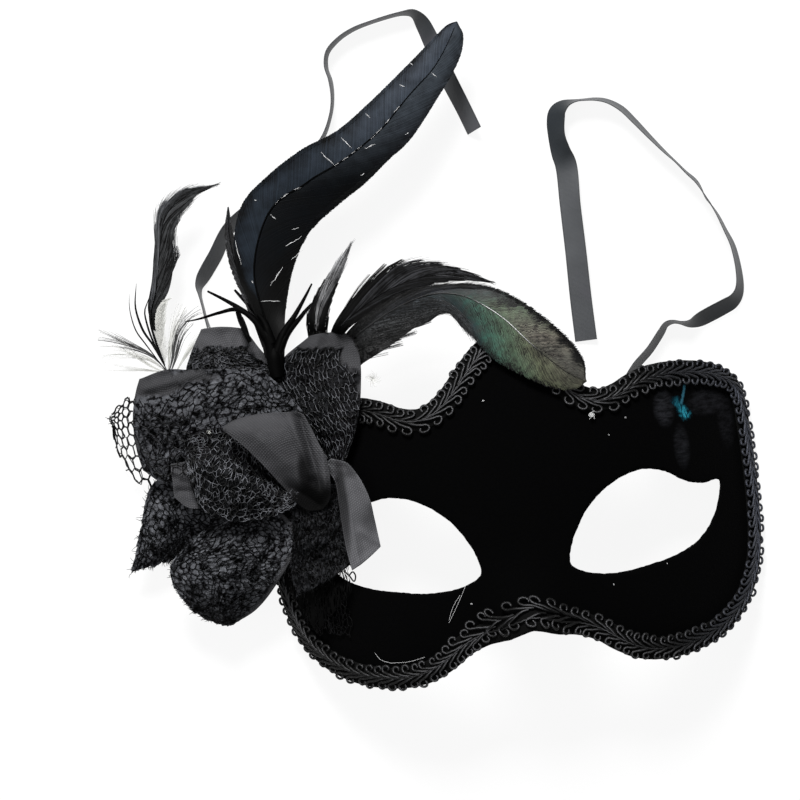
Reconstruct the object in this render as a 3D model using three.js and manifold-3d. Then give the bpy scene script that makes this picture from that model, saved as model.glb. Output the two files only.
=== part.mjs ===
// A moulded half mask in black velvet, lying face up on its two temples. Scroll braid runs
// along its edge, a cloth flower with a net veil and dark feathers sits on one temple, and
// two ribbon ties lie on the table.
import * as THREE from 'three';
import { mergeVertices } from 'three/addons/utils/BufferGeometryUtils.js';
import Module from 'manifold-3d';

const wasm = await Module();
wasm.setup();

// Driving dimensions, in millimetres. X runs across the mask from its centre line, Y towards
// the forehead from a point between the eyes, Z up from the table.
const CROWN = 50;           // height of the arch, before its temples are cut
const CROWN_Y = 20;         // where along Y the face stands highest
const CROWN_DROP = 0.0015;  // how fast the crown falls towards forehead and cheeks
const FACE_REACH = 91.7;    // half width at which the arch would reach the table
const FACE_POWER = 2.25;    // flatness of the arch across the face
const SINK = 3.5;           // how far the temples are cut, which leaves flat resting edges
const WALL = 1.8;           // velvet, card and lining together
const NOSE = { height: 9, start: 12, length: 35, width: 11 };
const SOCKET = { depth: 3.5, x: 46, y: 12, reachX: 25, reachY: 16 };
const CHEEK = { height: 1.8, x: 46, y: -22, reachX: 20, reachY: 13 };
const BRAID = { width: 10, overhang: 1.1, edge: 0.7, ridge: 1.5, stations: 130 };
const CLOTH = 1.0;          // petals and net, drawn thicker than real cloth
const VANE = 0.9;           // feather blades
const LAYER_GAP = 0.5;      // clear space between pieces that lie on each other
const RIBBON = { width: 8, thickness: 0.6, floor: 0.35 };
const QUILL = { radius: 0.9, taper: 0.6, shoulder: 0.45, baseZ: 20, tipZ: 15 };
const PETAL_GRID = { rows: 6, columns: 5 };

// Points closer than this are one point, and triangles smaller than this are seen edge on
const SAME_POINT = 1e-4;
const EDGE_ON_AREA = 1e-9;

const finish = (color, roughness) => new THREE.MeshStandardMaterial({ color, roughness, metalness: 0 });
const VELVET = finish(0x050506, 0.95);
const GIMP = finish(0x1c1c1e, 0.7);
const ORGANZA = finish(0x34343a, 0.6);
const NET = finish(0x101012, 0.8);
const FEATHER = finish(0x14181d, 0.5);
const GREEN_FEATHER = finish(0x2e3f33, 0.45);
const SATIN = finish(0x4c4f53, 0.55);

const group = new THREE.Group();

function place(name, geometry, material) {
  const mesh = new THREE.Mesh(geometry, material);
  mesh.name = name;
  group.add(mesh);
  return mesh;
}

// Closed solids from two matching grids of points
// grid[row][column] holds { top, bottom }; wrap joins the last row to the first.
function slab(grid, wrap = false) {
  const rows = grid.length;
  const columns = grid[0].length;
  const corners = grid.flat().flatMap(({ top, bottom }) => [top, bottom]);
  const top = (i, j) => 2 * ((i % rows) * columns + j);
  const bottom = (i, j) => top(i, j) + 1;
  const index = [];
  const quad = (a, b, c, d) => index.push(a, b, c, a, c, d);
  const lastRow = wrap ? rows : rows - 1;
  for (let i = 0; i < lastRow; i++) {
    for (let j = 0; j < columns - 1; j++) {
      quad(top(i, j), top(i, j + 1), top(i + 1, j + 1), top(i + 1, j));
      quad(bottom(i, j), bottom(i + 1, j), bottom(i + 1, j + 1), bottom(i, j + 1));
    }
    const end = columns - 1;
    quad(top(i, 0), top(i + 1, 0), bottom(i + 1, 0), bottom(i, 0));
    quad(top(i, end), bottom(i, end), bottom(i + 1, end), top(i + 1, end));
  }
  if (!wrap) {
    for (let j = 0; j < columns - 1; j++) {
      quad(top(0, j), bottom(0, j), bottom(0, j + 1), top(0, j + 1));
      quad(top(rows - 1, j), top(rows - 1, j + 1), bottom(rows - 1, j + 1), bottom(rows - 1, j));
    }
  }
  if (signedVolume(corners, index) < 0) {
    index.reverse();
  }
  const geometry = new THREE.BufferGeometry().setFromPoints(corners);
  geometry.setIndex(index);
  return geometry;
}

function signedVolume(corners, index) {
  let total = 0;
  const normal = new THREE.Vector3();
  for (let i = 0; i < index.length; i += 3) {
    const [a, b, c] = [corners[index[i]], corners[index[i + 1]], corners[index[i + 2]]];
    total += a.dot(normal.crossVectors(b, c));
  }
  return total / 6;
}

// Solids that are cut or joined
function toSolid(geometry) {
  const bare = geometry.clone();
  bare.deleteAttribute('normal');
  bare.deleteAttribute('uv');
  const merged = mergeVertices(bare, SAME_POINT);
  const vertProperties = new Float32Array(merged.attributes.position.array);
  const triVerts = new Uint32Array(merged.index.array);
  return new wasm.Manifold(new wasm.Mesh({ numProp: 3, vertProperties, triVerts }));
}

function toGeometry(solid) {
  const mesh = solid.getMesh();
  const geometry = new THREE.BufferGeometry();
  geometry.setAttribute('position', new THREE.BufferAttribute(mesh.vertProperties, 3));
  geometry.setIndex(new THREE.BufferAttribute(mesh.triVerts, 1));
  return geometry;
}

// The face: an arch across the temples with a nose, eye sockets and cheeks
const bell = (x, y, { x: cx, y: cy, reachX, reachY }) =>
  Math.exp(-(((Math.abs(x) - cx) / reachX) ** 2) - ((y - cy) / reachY) ** 2);

function faceHeight(x, y) {
  const crown = CROWN - CROWN_DROP * (y - CROWN_Y) ** 2;
  const arch = crown * (1 - (Math.abs(x) / FACE_REACH) ** FACE_POWER);
  const along = THREE.MathUtils.smoothstep(NOSE.start - y, 0, NOSE.length);
  const nose = NOSE.height * along * Math.exp(-((x / NOSE.width) ** 2));
  const socket = SOCKET.depth * bell(x, y, SOCKET);
  const cheek = CHEEK.height * bell(x, y, CHEEK);
  return arch + nose - socket + cheek - SINK;
}

function faceSlope(x, y) {
  const step = 0.5;
  const dx = (faceHeight(x + step, y) - faceHeight(x - step, y)) / (2 * step);
  const dy = (faceHeight(x, y + step) - faceHeight(x, y - step)) / (2 * step);
  return Math.hypot(dx, dy);
}

// Half of the mask's outline, from the peak of the forehead down its side to the nose
const HALF_OUTLINE = [
  [0, 83], [6.5, 81.5], [12.5, 76.5], [17.5, 70.8], [22.3, 65.3], [27, 61.4], [31.5, 59.8],
  [36.5, 60.6], [42.5, 63.4], [49, 65.6], [56.5, 66.4], [64.5, 66.2], [72.5, 65], [79.5, 62.3],
  [85, 57.6], [87.3, 51], [88, 42], [88.4, 32], [88.5, 20], [88.2, 8], [87.2, -2],
  [85.2, -10.5], [82, -18], [76.8, -25], [70.2, -30.2], [63, -33.6], [55.3, -35.5],
  [47.5, -36.2], [40, -35.5], [33.5, -33.4], [27.5, -29.9], [22, -26], [16, -23.4],
  [8, -21.8], [4, -20.4], [0, -19.4],
];
// An eye hole, from its inner corner over the lid to its outer corner and back below
const EYE_OUTLINE = [
  [15.4, 1], [16.4, 7.5], [19.6, 14], [24.2, 20.4], [31, 26], [39, 29.7], [47, 30.6],
  [54.5, 28.2], [60, 24.8], [66, 22.9], [73.8, 23], [73.4, 17.5], [69.8, 9.3], [63.8, 2.9],
  [55.5, -1], [45, -3.2], [35, -4.4], [26, -4], [19, -2],
];
const OUTLINE_STEPS = 150;
const EYE_STEPS = 36;

const flipped = (points) => points.map(([x, y]) => [-x, y]);

function closedCurve(points) {
  const knots = points.map(([x, y]) => new THREE.Vector3(x, y, 0));
  return new THREE.CatmullRomCurve3(knots, true, 'centripetal');
}

function spaced2D(points, steps) {
  const path = closedCurve(points).getSpacedPoints(steps).slice(0, steps);
  return path.map(({ x, y }) => new THREE.Vector2(x, y));
}

// An outline as an upright block from the table to above the face
function upright(points, steps) {
  const shape = new THREE.Shape(spaced2D(points, steps));
  return toSolid(new THREE.ExtrudeGeometry(shape, { depth: 2 * CROWN, bevelEnabled: false }));
}

const OUTLINE = [...HALF_OUTLINE, ...flipped(HALF_OUTLINE.slice(1, -1)).reverse()];

// Grid lines across one half of the face, closer together over the nose
const HALF_COLUMNS = [0, 4, 8, 12, 16.5, 22, 28, 34.5, 41, 47.5, 54, 60.5, 67, 73, 78.5, 83.5, 88, 92];
const ROW_STEP = 6.6;
const FACE_BOTTOM = -42.2;
const FACE_ROWS = 20;

function makeShell() {
  const columns = [...HALF_COLUMNS.slice(1).map((x) => -x).reverse(), ...HALF_COLUMNS];
  const blank = [];
  for (let i = 0; i <= FACE_ROWS; i++) {
    const y = FACE_BOTTOM + i * ROW_STEP;
    blank.push(columns.map((x) => {
      const z = faceHeight(x, y);
      const drop = WALL * Math.hypot(1, faceSlope(x, y));
      return { top: new THREE.Vector3(x, y, z), bottom: new THREE.Vector3(x, y, z - drop) };
    }));
  }
  const face = toSolid(slab(blank)).intersect(upright(OUTLINE, OUTLINE_STEPS));
  const rightEye = upright(EYE_OUTLINE, EYE_STEPS);
  const leftEye = upright(flipped(EYE_OUTLINE), EYE_STEPS);
  return toGeometry(face.subtract(rightEye).subtract(leftEye));
}

// Scroll braid: a ridged strip on the face side of the edge, a little past it
const BRAID_LIFT = 0.5;
const BRAID_SMOOTHING = 3;

function makeBraid() {
  const edge = spaced2D(OUTLINE, BRAID.stations);
  const at = (k) => edge[(k + edge.length) % edge.length];
  const across = [
    [-BRAID.overhang, BRAID.edge],
    [BRAID.width / 2 - BRAID.overhang, BRAID.ridge],
    [BRAID.width - BRAID.overhang, BRAID.edge],
  ];
  const grid = edge.map((point, k) => {
    const run = at(k + BRAID_SMOOTHING).clone().sub(at(k - BRAID_SMOOTHING)).normalize();
    const inward = new THREE.Vector2(run.y, -run.x);
    return across.map(([distance, height]) => {
      const { x, y } = point.clone().addScaledVector(inward, distance);
      const z = Math.max(faceHeight(x, y) + BRAID_LIFT, BRAID_LIFT);
      const steep = Math.hypot(1, faceSlope(x, y));
      return { top: new THREE.Vector3(x, y, z + height * steep), bottom: new THREE.Vector3(x, y, z) };
    });
  });
  return slab(grid, true);
}

// What already lies under a new piece, so that each piece rests on those before it
const pile = [];
const FEELERS = 8;

function addToPile(geometry) {
  const position = geometry.attributes.position;
  const corner = (k) => new THREE.Vector3().fromBufferAttribute(position, geometry.index.getX(k));
  for (let k = 0; k < geometry.index.count; k += 3) {
    const [a, b, c] = [corner(k), corner(k + 1), corner(k + 2)];
    const area = (b.x - a.x) * (c.y - a.y) - (c.x - a.x) * (b.y - a.y);
    if (area > EDGE_ON_AREA) {
      pile.push({ a, b, c, area, box: new THREE.Box3().setFromPoints([a, b, c]) });
    }
  }
}

function pileHeight(x, y) {
  let highest = -Infinity;
  for (const { a, b, c, area, box } of pile) {
    if (x < box.min.x || x > box.max.x || y < box.min.y || y > box.max.y) continue;
    const u = ((b.x - x) * (c.y - y) - (c.x - x) * (b.y - y)) / area;
    const v = ((c.x - x) * (a.y - y) - (a.x - x) * (c.y - y)) / area;
    const w = 1 - u - v;
    if (u >= 0 && v >= 0 && w >= 0) {
      highest = Math.max(highest, u * a.z + v * b.z + w * c.z);
    }
  }
  return highest;
}

function restHeight(x, y, reach) {
  let highest = pileHeight(x, y);
  for (let k = 0; k < FEELERS; k++) {
    const angle = (2 * Math.PI * k) / FEELERS;
    for (const radius of [reach / 2, reach]) {
      const under = pileHeight(x + radius * Math.cos(angle), y + radius * Math.sin(angle));
      highest = Math.max(highest, under);
    }
  }
  return highest;
}

// How much of its own cell size a piece feels around each point, so that its flat facets clear
// what lies under them, and the stretch of a bell curve that its crown follows
const REACH_SHARE = 0.75;
const CROWN_SPAN = { start: 0.15, length: 0.7 };

// A petal or vane between two edges that both run from its root to its tip
const edgeCurve = (points) => new THREE.SplineCurve(points.map(([x, y]) => new THREE.Vector2(x, y)));

function heightAlong(heights, t) {
  const spot = t * (heights.length - 1);
  const k = Math.min(Math.floor(spot), heights.length - 2);
  return THREE.MathUtils.lerp(heights[k], heights[k + 1], spot - k);
}

function blade({ edges, heights, crown = 0, rows, columns, thickness }) {
  const [first, second] = edges.map(edgeCurve);
  const plan = [];
  for (let i = 0; i <= rows; i++) {
    const [start, end] = [first.getPointAt(i / rows), second.getPointAt(i / rows)];
    plan.push(Array.from({ length: columns + 1 }, (_, j) => start.clone().lerp(end, j / columns)));
  }
  const grid = plan.map((row, i) => row.map((point, j) => {
    const corners = [plan[i - 1]?.[j - 1], plan[i - 1]?.[j + 1], plan[i + 1]?.[j - 1], plan[i + 1]?.[j + 1]];
    const reach = REACH_SHARE * Math.max(...corners.filter(Boolean).map((other) => other.distanceTo(point)));
    const [s, t] = [j / columns, i / rows];
    const along = Math.sin(Math.PI * (CROWN_SPAN.start + CROWN_SPAN.length * t));
    const bulge = crown * (1 - (2 * s - 1) ** 2) * along;
    const wanted = heightAlong(heights, t) + bulge;
    const z = Math.max(wanted, restHeight(point.x, point.y, reach) + LAYER_GAP);
    return {
      bottom: new THREE.Vector3(point.x, point.y, z),
      top: new THREE.Vector3(point.x, point.y, z + thickness),
    };
  }));
  return slab(grid);
}

function lay(name, material, shape) {
  const geometry = blade(shape);
  addToPile(geometry);
  place(name, geometry, material);
}

// Petals, each from the flower's heart outwards, in the order in which they lie
const petal = (name, edges, heights, crown) =>
  lay(name, ORGANZA, { edges, heights, crown, ...PETAL_GRID, thickness: CLOTH });

// Feathers, each from its root in the flower to its tip
const feather = (name, edges, heights, rows, columns, crown = 0, material = FEATHER) =>
  lay(name, material, { edges, heights, crown, rows, columns, thickness: VANE });

// Bare quills that stand out of the feathers' roots, joined where they cross
const QUILLS = [
  [[-77, 80], [-80, 92], [-85, 101], [-92, 106], [-101, 112]],
  [[-80, 92], [-90, 102], [-97, 102], [-109, 100]],
  [[-79, 90], [-85, 102], [-92, 111]],
  [[-77, 80], [-78, 89], [-73, 96], [-68, 104], [-64, 109]],
  [[-78, 89], [-70, 97], [-66, 101], [-62, 104]],
];

function quill(points) {
  const route = edgeCurve(points);
  const steps = 2 * (points.length - 1);
  const grid = [];
  for (let i = 0; i <= steps; i++) {
    const t = i / steps;
    const { x, y } = route.getPointAt(t);
    const run = route.getTangentAt(t);
    const side = new THREE.Vector3(-run.y, run.x, 0);
    const radius = QUILL.radius * THREE.MathUtils.lerp(1, QUILL.taper, t);
    const centre = new THREE.Vector3(x, y, THREE.MathUtils.lerp(QUILL.baseZ, QUILL.tipZ, t));
    grid.push([-1, 0, 1].map((s) => {
      const point = centre.clone().addScaledVector(side, s * radius);
      const half = radius * (s === 0 ? 1 : QUILL.shoulder);
      return {
        top: point.clone().setZ(point.z + half),
        bottom: point.clone().setZ(point.z - half),
      };
    }));
  }
  return slab(grid);
}

function makeQuills() {
  const solids = QUILLS.map((points) => toSolid(quill(points)));
  return toGeometry(solids.reduce((joined, next) => joined.add(next)));
}

// Ribbon ties: flat bands, on the table except where they are glued behind the temples.
// Each point is x, y, height over the table and roll, 0 lying flat and 90 on edge.
const RIGHT_RIBBON = [
  [79.5, 30, 3, 45], [76, 37.5, 1.4, 30], [68.5, 43, 0, 15], [59, 46, 0, 20], [51, 49.5, 0, 30],
  [46, 54.5, 0, 45], [45.5, 62, 0, 65], [52.5, 70.5, 0, 66], [59.5, 78, 0, 64], [63.5, 80, 0, 71],
  [68, 81, 0, 78], [73.5, 80.5, 0, 62], [79, 81, 0, 48], [84.5, 83.5, 0, 42], [88.5, 87.5, 0, 47],
  [91, 98, 0, 59], [88.5, 111.5, 0, 69], [82.5, 122.5, 0, 77], [78.5, 130, 0, 67],
  [74.5, 135, 0, 77], [65, 146.5, 0, 72], [54.5, 158.5, 0, 64], [43.5, 164, 0, 75],
  [38, 164.5, 0, 72], [33, 162.5, 0, 57], [31.5, 158, 0, 41], [31.5, 150.5, 0, 36],
  [32.5, 142, 0, 34], [33, 114.5, 0, 31], [33, 77.5, 0, 20],
];
const LEFT_RIBBON = [
  [-80, 30, 3, -45], [-79.5, 38.5, 1.4, -25], [-79.5, 47, 0, 0], [-81, 56, 0, 0], [-86.5, 67, 0, 0],
  [-93.5, 78, 0, 10], [-98.5, 87, 0, 60], [-102.5, 95.5, 0, 89], [-104, 107.5, 0, 87],
  [-103.5, 113.5, 0, 72], [-101.5, 118.5, 0, 58], [-98.5, 123.5, 0, 54], [-91, 133, 0, 67],
  [-78, 142, 0, 64], [-64, 151, 0, 72], [-54, 161, 0, 85], [-50, 169, 0, 86], [-48.5, 175.5, 0, 84],
  [-48.5, 182, 0, 80], [-49.5, 187, 0, 81], [-48.5, 192, 0, 84], [-44.5, 196, 0, 86],
  [-39, 199, 0, 88], [-32, 201, 0, 90], [-20, 203, 0, 89], [-15.5, 202, 0, 75],
  [-13, 198.5, 0, 54], [-11, 192.5, 0, 46], [-8.5, 184, 0, 46], [-2, 166.5, 0, 52], [1, 158, 0, 52],
];
const RIBBON_STEPS = 60;

function makeRibbon(points) {
  const path = new THREE.CatmullRomCurve3(points.map(([x, y]) => new THREE.Vector3(x, y, 0)));
  const last = points.length - 1;
  const blend = (t, field) => heightAlong(points.map((point) => point[field]), t);
  const grid = [];
  for (let i = 0; i <= RIBBON_STEPS; i++) {
    const t = i / RIBBON_STEPS;
    const centre = path.getPoint(t);
    const run = path.getTangent(t);
    const roll = THREE.MathUtils.degToRad(blend(t, 3));
    const level = new THREE.Vector3(-run.y, run.x, 0).normalize();
    const up = new THREE.Vector3(0, 0, 1);
    const broad = level.clone().multiplyScalar(Math.cos(roll)).addScaledVector(up, Math.sin(roll));
    const thin = up.clone().multiplyScalar(Math.cos(roll)).addScaledVector(level, -Math.sin(roll));
    const half = Math.abs(broad.z) * RIBBON.width / 2 + Math.abs(thin.z) * RIBBON.thickness / 2;
    centre.z = blend(t, 2) + RIBBON.floor + half;
    const corner = (side, face) => centre.clone()
      .addScaledVector(broad, side * RIBBON.width / 2)
      .addScaledVector(thin, face * RIBBON.thickness / 2);
    grid.push([-1, 1].map((side) => ({ top: corner(side, 1), bottom: corner(side, -1) })));
  }
  return slab(grid);
}

// The mask and its edge
const shell = place('mask_shell', makeShell(), VELVET);
const braid = place('braid_trim', makeBraid(), GIMP);
addToPile(shell.geometry);
addToPile(braid.geometry);

// The veil lies lowest, from the tuft beside the temple to the cheek under the eye
lay('net_veil', NET, {
  edges: [
    [[-144, 65], [-139, 49], [-124, 38], [-106, 22], [-88, 6], [-79, -8], [-74, -16]],
    [[-143, 77], [-126, 78], [-98, 67], [-75, 43], [-62, 14], [-60, -2]],
  ],
  heights: [7, 8, 9, 9, 9, 9],
  rows: 10,
  columns: 6,
  thickness: CLOTH,
});
petal('petal_lower_left', [
  [[-113, 47], [-128, 42], [-134, 28], [-140, 14]],
  [[-98, 33], [-107, 28], [-115.5, 22], [-124.5, 16]],
], [16, 9], 2);
petal('petal_top_left', [
  [[-101, 55], [-110, 71], [-111, 83], [-109, 91], [-104, 97]],
  [[-78, 60], [-72, 71], [-74, 82], [-81, 90], [-89, 95]],
], [15, 14], 3);
petal('petal_top_right', [
  [[-72, 40], [-74, 58], [-78, 74], [-77, 84], [-70, 90]],
  [[-59, 43], [-53, 60], [-49, 75], [-49, 83], [-50, 88]],
], [20, 23], 3);

// The feathers, with their roots between the petals
const quills = place('quill_bunch', makeQuills(), FEATHER);
addToPile(quills.geometry);
feather('plume_sliver', [
  [[-83, 89], [-87, 104], [-91, 118], [-92, 132], [-89.5, 140]],
  [[-81, 91], [-84, 104], [-87, 117], [-89, 131], [-88.5, 140]],
], [20, 17, 15], 8, 1);
feather('plume_large', [
  [[-81.5, 84], [-84, 101.5], [-89, 115], [-89, 127.5], [-84.5, 140], [-75.5, 148], [-61.5, 156.5],
    [-48.5, 161.5], [-36, 170], [-19.5, 183], [-7.5, 193], [-1, 195.5]],
  [[-75.5, 84], [-73, 102], [-68, 117], [-62, 126.5], [-57.5, 130.5], [-48, 137], [-40, 142],
    [-30.5, 149.5], [-23, 155], [-10.5, 170], [-4.5, 178], [0, 189.5]],
], [22, 20, 20, 22, 22, 19], 16, 4, 2);
feather('plume_upright', [
  [[-67, 84], [-63, 103], [-56, 115], [-48.5, 121]],
  [[-58, 84], [-55, 102], [-51, 112], [-47.5, 119.5]],
], [26, 27, 30], 6, 2);
feather('plume_fan', [
  [[-63, 84], [-57, 99], [-47, 107], [-33, 113], [-21, 112], [-12, 108]],
  [[-57, 82], [-49, 92], [-38, 99], [-26, 102], [-16, 104], [-11, 106]],
], [27, 30, 34, 38], 8, 3);
feather('plume_green', [
  [[-62, 80], [-51, 92], [-39, 98.5], [-26, 102], [-15, 102], [-1, 99.5], [10, 95], [17.5, 87],
    [24.5, 77.5], [28.5, 69.5]],
  [[-58, 77], [-47.5, 78], [-34.5, 83.5], [-23.5, 87.5], [-15.5, 90], [-10, 83.5], [-3.5, 75.5],
    [5.5, 69.5], [14.5, 63.5], [25.5, 62]],
], [29, 33, 38, 43, 46, 46], 16, 4, 2, GREEN_FEATHER);
feather('plume_hackle', [
  [[-114, 74], [-119, 84], [-123, 99], [-124, 109], [-121, 124], [-117, 134], [-110, 144], [-95, 148.5]],
  [[-110, 75], [-116, 85], [-119.5, 97], [-118, 108], [-113, 115], [-110, 127], [-105, 140], [-94, 147]],
], [14, 12, 13, 15], 12, 2);

// The upper petals
petal('petal_bottom', [
  [[-107, 30], [-120, 20], [-126, 11], [-121, 0], [-109, -10]],
  [[-81, 30], [-79, 20], [-82, 11], [-91, 0], [-105, -10]],
], [18, 18, 12], 5);
petal('petal_lower_right', [
  [[-79, 35], [-80, 19], [-82, 7], [-81, -4]],
  [[-64, 38], [-63, 24], [-63, 12], [-62, 4]],
], [20, 20], 2);
petal('petal_right', [
  [[-75, 41], [-65, 38], [-62, 28], [-61.5, 16], [-60, 5]],
  [[-73, 47], [-58, 45.5], [-52, 34], [-50, 22], [-49, 13]],
], [26, 30, 29], 2);
petal('petal_left', [
  [[-74, 50], [-92, 52], [-111, 51], [-125, 44], [-131, 51]],
  [[-71, 64], [-81, 79], [-101, 83], [-118, 85], [-128, 82]],
], [24, 26, 17], 5);
petal('petal_small', [
  [[-107, 34], [-115, 34], [-120, 39]],
  [[-107, 54], [-114, 52], [-120, 50]],
], [24, 27], 1);
petal('petal_cup', [
  [[-78, 32], [-90, 27], [-101, 30], [-110, 35], [-115, 44]],
  [[-77, 37], [-87, 47], [-95, 56], [-105, 60], [-111, 60]],
], [24, 28, 27], 7);
petal('petal_middle', [
  [[-70, 29], [-78, 38], [-87, 48], [-94, 54], [-99, 60]],
  [[-64, 40], [-66, 53], [-72, 64], [-88, 64], [-98, 62]],
], [26, 36, 40], 4);

// The origin is under the middle of the mask with its flower, on the table
const box = new THREE.Box3().setFromObject(group);
const middle = box.getCenter(new THREE.Vector3());
group.position.set(-middle.x, -middle.y, 0);

place('ribbon_right', makeRibbon(RIGHT_RIBBON), SATIN);
place('ribbon_left', makeRibbon(LEFT_RIBBON), SATIN);

export default group;
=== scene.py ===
import math

import bmesh
import bpy
import numpy as np
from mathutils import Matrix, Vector, noise
from mathutils.bvhtree import BVHTree
from mathutils.geometry import delaunay_2d_cdt


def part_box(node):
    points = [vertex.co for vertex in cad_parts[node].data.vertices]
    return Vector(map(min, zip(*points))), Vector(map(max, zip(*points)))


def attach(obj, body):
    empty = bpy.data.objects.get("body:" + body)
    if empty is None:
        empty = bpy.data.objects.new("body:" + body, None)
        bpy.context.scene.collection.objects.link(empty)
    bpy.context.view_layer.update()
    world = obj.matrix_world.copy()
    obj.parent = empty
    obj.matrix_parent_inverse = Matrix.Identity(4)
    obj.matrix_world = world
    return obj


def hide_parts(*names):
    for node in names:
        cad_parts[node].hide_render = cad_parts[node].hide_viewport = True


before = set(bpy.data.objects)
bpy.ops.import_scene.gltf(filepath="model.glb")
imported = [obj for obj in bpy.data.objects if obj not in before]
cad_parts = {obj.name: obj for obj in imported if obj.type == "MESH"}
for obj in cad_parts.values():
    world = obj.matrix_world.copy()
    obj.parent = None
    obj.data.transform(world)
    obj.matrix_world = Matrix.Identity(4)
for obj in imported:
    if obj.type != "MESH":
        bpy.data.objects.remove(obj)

bl_info = {
    "name": "Feathered half mask",
    "version": (1, 0, 0),
    "blender": (4, 5, 0),
    "location": "View3D > Sidebar > Mask",
    "description": "Builds a velvet half mask with gimp braid, cloth flower, feathers and ties",
    "category": "Add Mesh",
}

MM = 0.001
FULL_TURN = 2 * math.pi
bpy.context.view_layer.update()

# Places and sizes are the mask's own millimetres, unless metres are named: X from its centre line
# and Y up from a point between the eyes
PEAK_Y = 83
SHELL_LOW, SHELL_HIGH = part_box("mask_shell")
ORIGIN_X = (SHELL_LOW[0] + SHELL_HIGH[0]) / 2
ORIGIN_Y = SHELL_HIGH[1] - PEAK_Y * MM

# The face, as its maker's mould has it
CROWN, CROWN_Y, CROWN_DROP = 50, 20, 0.0015
FACE_REACH, FACE_POWER, SINK, WALL = 91.7, 2.25, 3.5, 1.8
NOSE_HEIGHT, NOSE_START, NOSE_LENGTH, NOSE_WIDTH = 9, 12, 35, 11
SOCKET = dict(height=-3.5, mid_x=46, mid_y=12, reach_x=25, reach_y=16)
CHEEK = dict(height=1.8, mid_x=46, mid_y=-22, reach_x=20, reach_y=13)
SLOPE_STEP = 0.4

HALF_OUTLINE = [
    (0, 83), (6.5, 81.5), (12.5, 76.5), (17.5, 70.8), (22.3, 65.3), (27, 61.4), (31.5, 59.8),
    (36.5, 60.6), (42.5, 63.4), (49, 65.6), (56.5, 66.4), (64.5, 66.2), (72.5, 65), (79.5, 62.3),
    (85, 57.6), (87.3, 51), (88, 42), (88.4, 32), (88.5, 20), (88.2, 8), (87.2, -2), (85.2, -10.5),
    (82, -18), (76.8, -25), (70.2, -30.2), (63, -33.6), (55.3, -35.5), (47.5, -36.2), (40, -35.5),
    (33.5, -33.4), (27.5, -29.9), (22, -26), (16, -23.4), (8, -21.8), (4, -20.4), (0, -19.4),
]
EYE_OUTLINE = [
    (15.4, 1), (16.4, 7.5), (19.6, 14), (24.2, 20.4), (31, 26), (39, 29.7), (47, 30.6), (54.5, 28.2),
    (60, 24.8), (66, 22.9), (73.8, 23), (73.4, 17.5), (69.8, 9.3), (63.8, 2.9), (55.5, -1), (45, -3.2),
    (35, -4.4), (26, -4), (19, -2),
]

# The ties: x, y and roll, 0 lying flat and 90 on edge, and how high over the table they start
TIE_START = (3, 1.4)
RIGHT_RIBBON = [
    (79.5, 30, 45), (76, 37.5, 30), (68.5, 43, 15), (59, 46, 20), (51, 49.5, 30), (46, 54.5, 45),
    (45.5, 60, 62), (48.9, 66, 67), (55.3, 72.1, 67), (59.9, 77.7, 67), (62.2, 80.5, 72), (64.9, 81.1, 84),
    (67.9, 80.5, 89), (70.6, 80, 72), (73.9, 80.7, 50), (79.3, 82.7, 47), (84.1, 84.6, 48), (87.2, 86, 50),
    (89.3, 88.4, 58), (90.3, 91.7, 64), (90.4, 98, 68), (89.3, 106.1, 70), (87.2, 112, 74),
    (85.3, 117.2, 76), (83.2, 121.6, 81), (81.7, 124.1, 88), (80.4, 127.4, 78), (78.7, 130.7, 74),
    (75.5, 134.3, 77), (72, 138.7, 79), (69, 142.1, 76), (63.5, 149, 72), (59, 154.9, 69), (54.8, 159.9, 68),
    (50, 163.1, 72), (46.1, 164.2, 76), (41.8, 164.5, 80), (37.9, 164.5, 79), (34.7, 163.8, 62),
    (32, 161.7, 42), (31, 158.4, 40), (30.7, 152.7, 48), (31.6, 146.9, 34), (32.9, 142.2, 16),
    (32.8, 127.4, 26), (32.9, 110.2, 23), (32.8, 93.1, 17), (33, 77.9, 11),
]
LEFT_RIBBON = [
    (-80, 30, -45), (-79.5, 38.5, -25), (-79.5, 47, 0), (-81, 56, 0), (-86.5, 67, 0), (-93.5, 78, 10),
    (-98.5, 87, 60), (-101.8, 95.5, 84), (-103, 101, 88), (-103.7, 105.9, 89), (-104.3, 110.3, 88),
    (-104.3, 112.8, 78), (-103.2, 115.2, 60), (-100.6, 119, 56), (-97.3, 123.5, 56), (-91, 133, 62),
    (-78, 142, 64), (-64, 151, 72), (-54, 161, 85), (-50, 169, 86), (-48.5, 175.5, 84), (-48.5, 182, 80),
    (-49.5, 187, 81), (-48.5, 192, 84), (-44.5, 196, 86), (-39, 199, 88), (-32, 201, 90), (-20, 203, 89),
    (-16.4, 202.6, 78), (-13.8, 199.6, 54), (-11, 192.5, 46), (-8.5, 184, 46), (-2, 166.5, 52), (1, 158, 52),
]


def to_frame(points):
    """Mask millimetres to metres in the frame."""
    points = np.asarray(points, float) * MM
    return points + np.array([ORIGIN_X, ORIGIN_Y, 0.0])[: points.shape[-1]]


def raised(plan, height):
    """Places in mask millimetres at a height over the table, as points of the frame in metres."""
    height = np.broadcast_to(height, plan.shape[:-1])
    return to_frame(np.concatenate([plan, height[..., None]], -1))


def bell(x, y, height, mid_x, mid_y, reach_x, reach_y):
    return height * np.exp(-(((np.abs(x) - mid_x) / reach_x) ** 2) - ((y - mid_y) / reach_y) ** 2)


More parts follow.
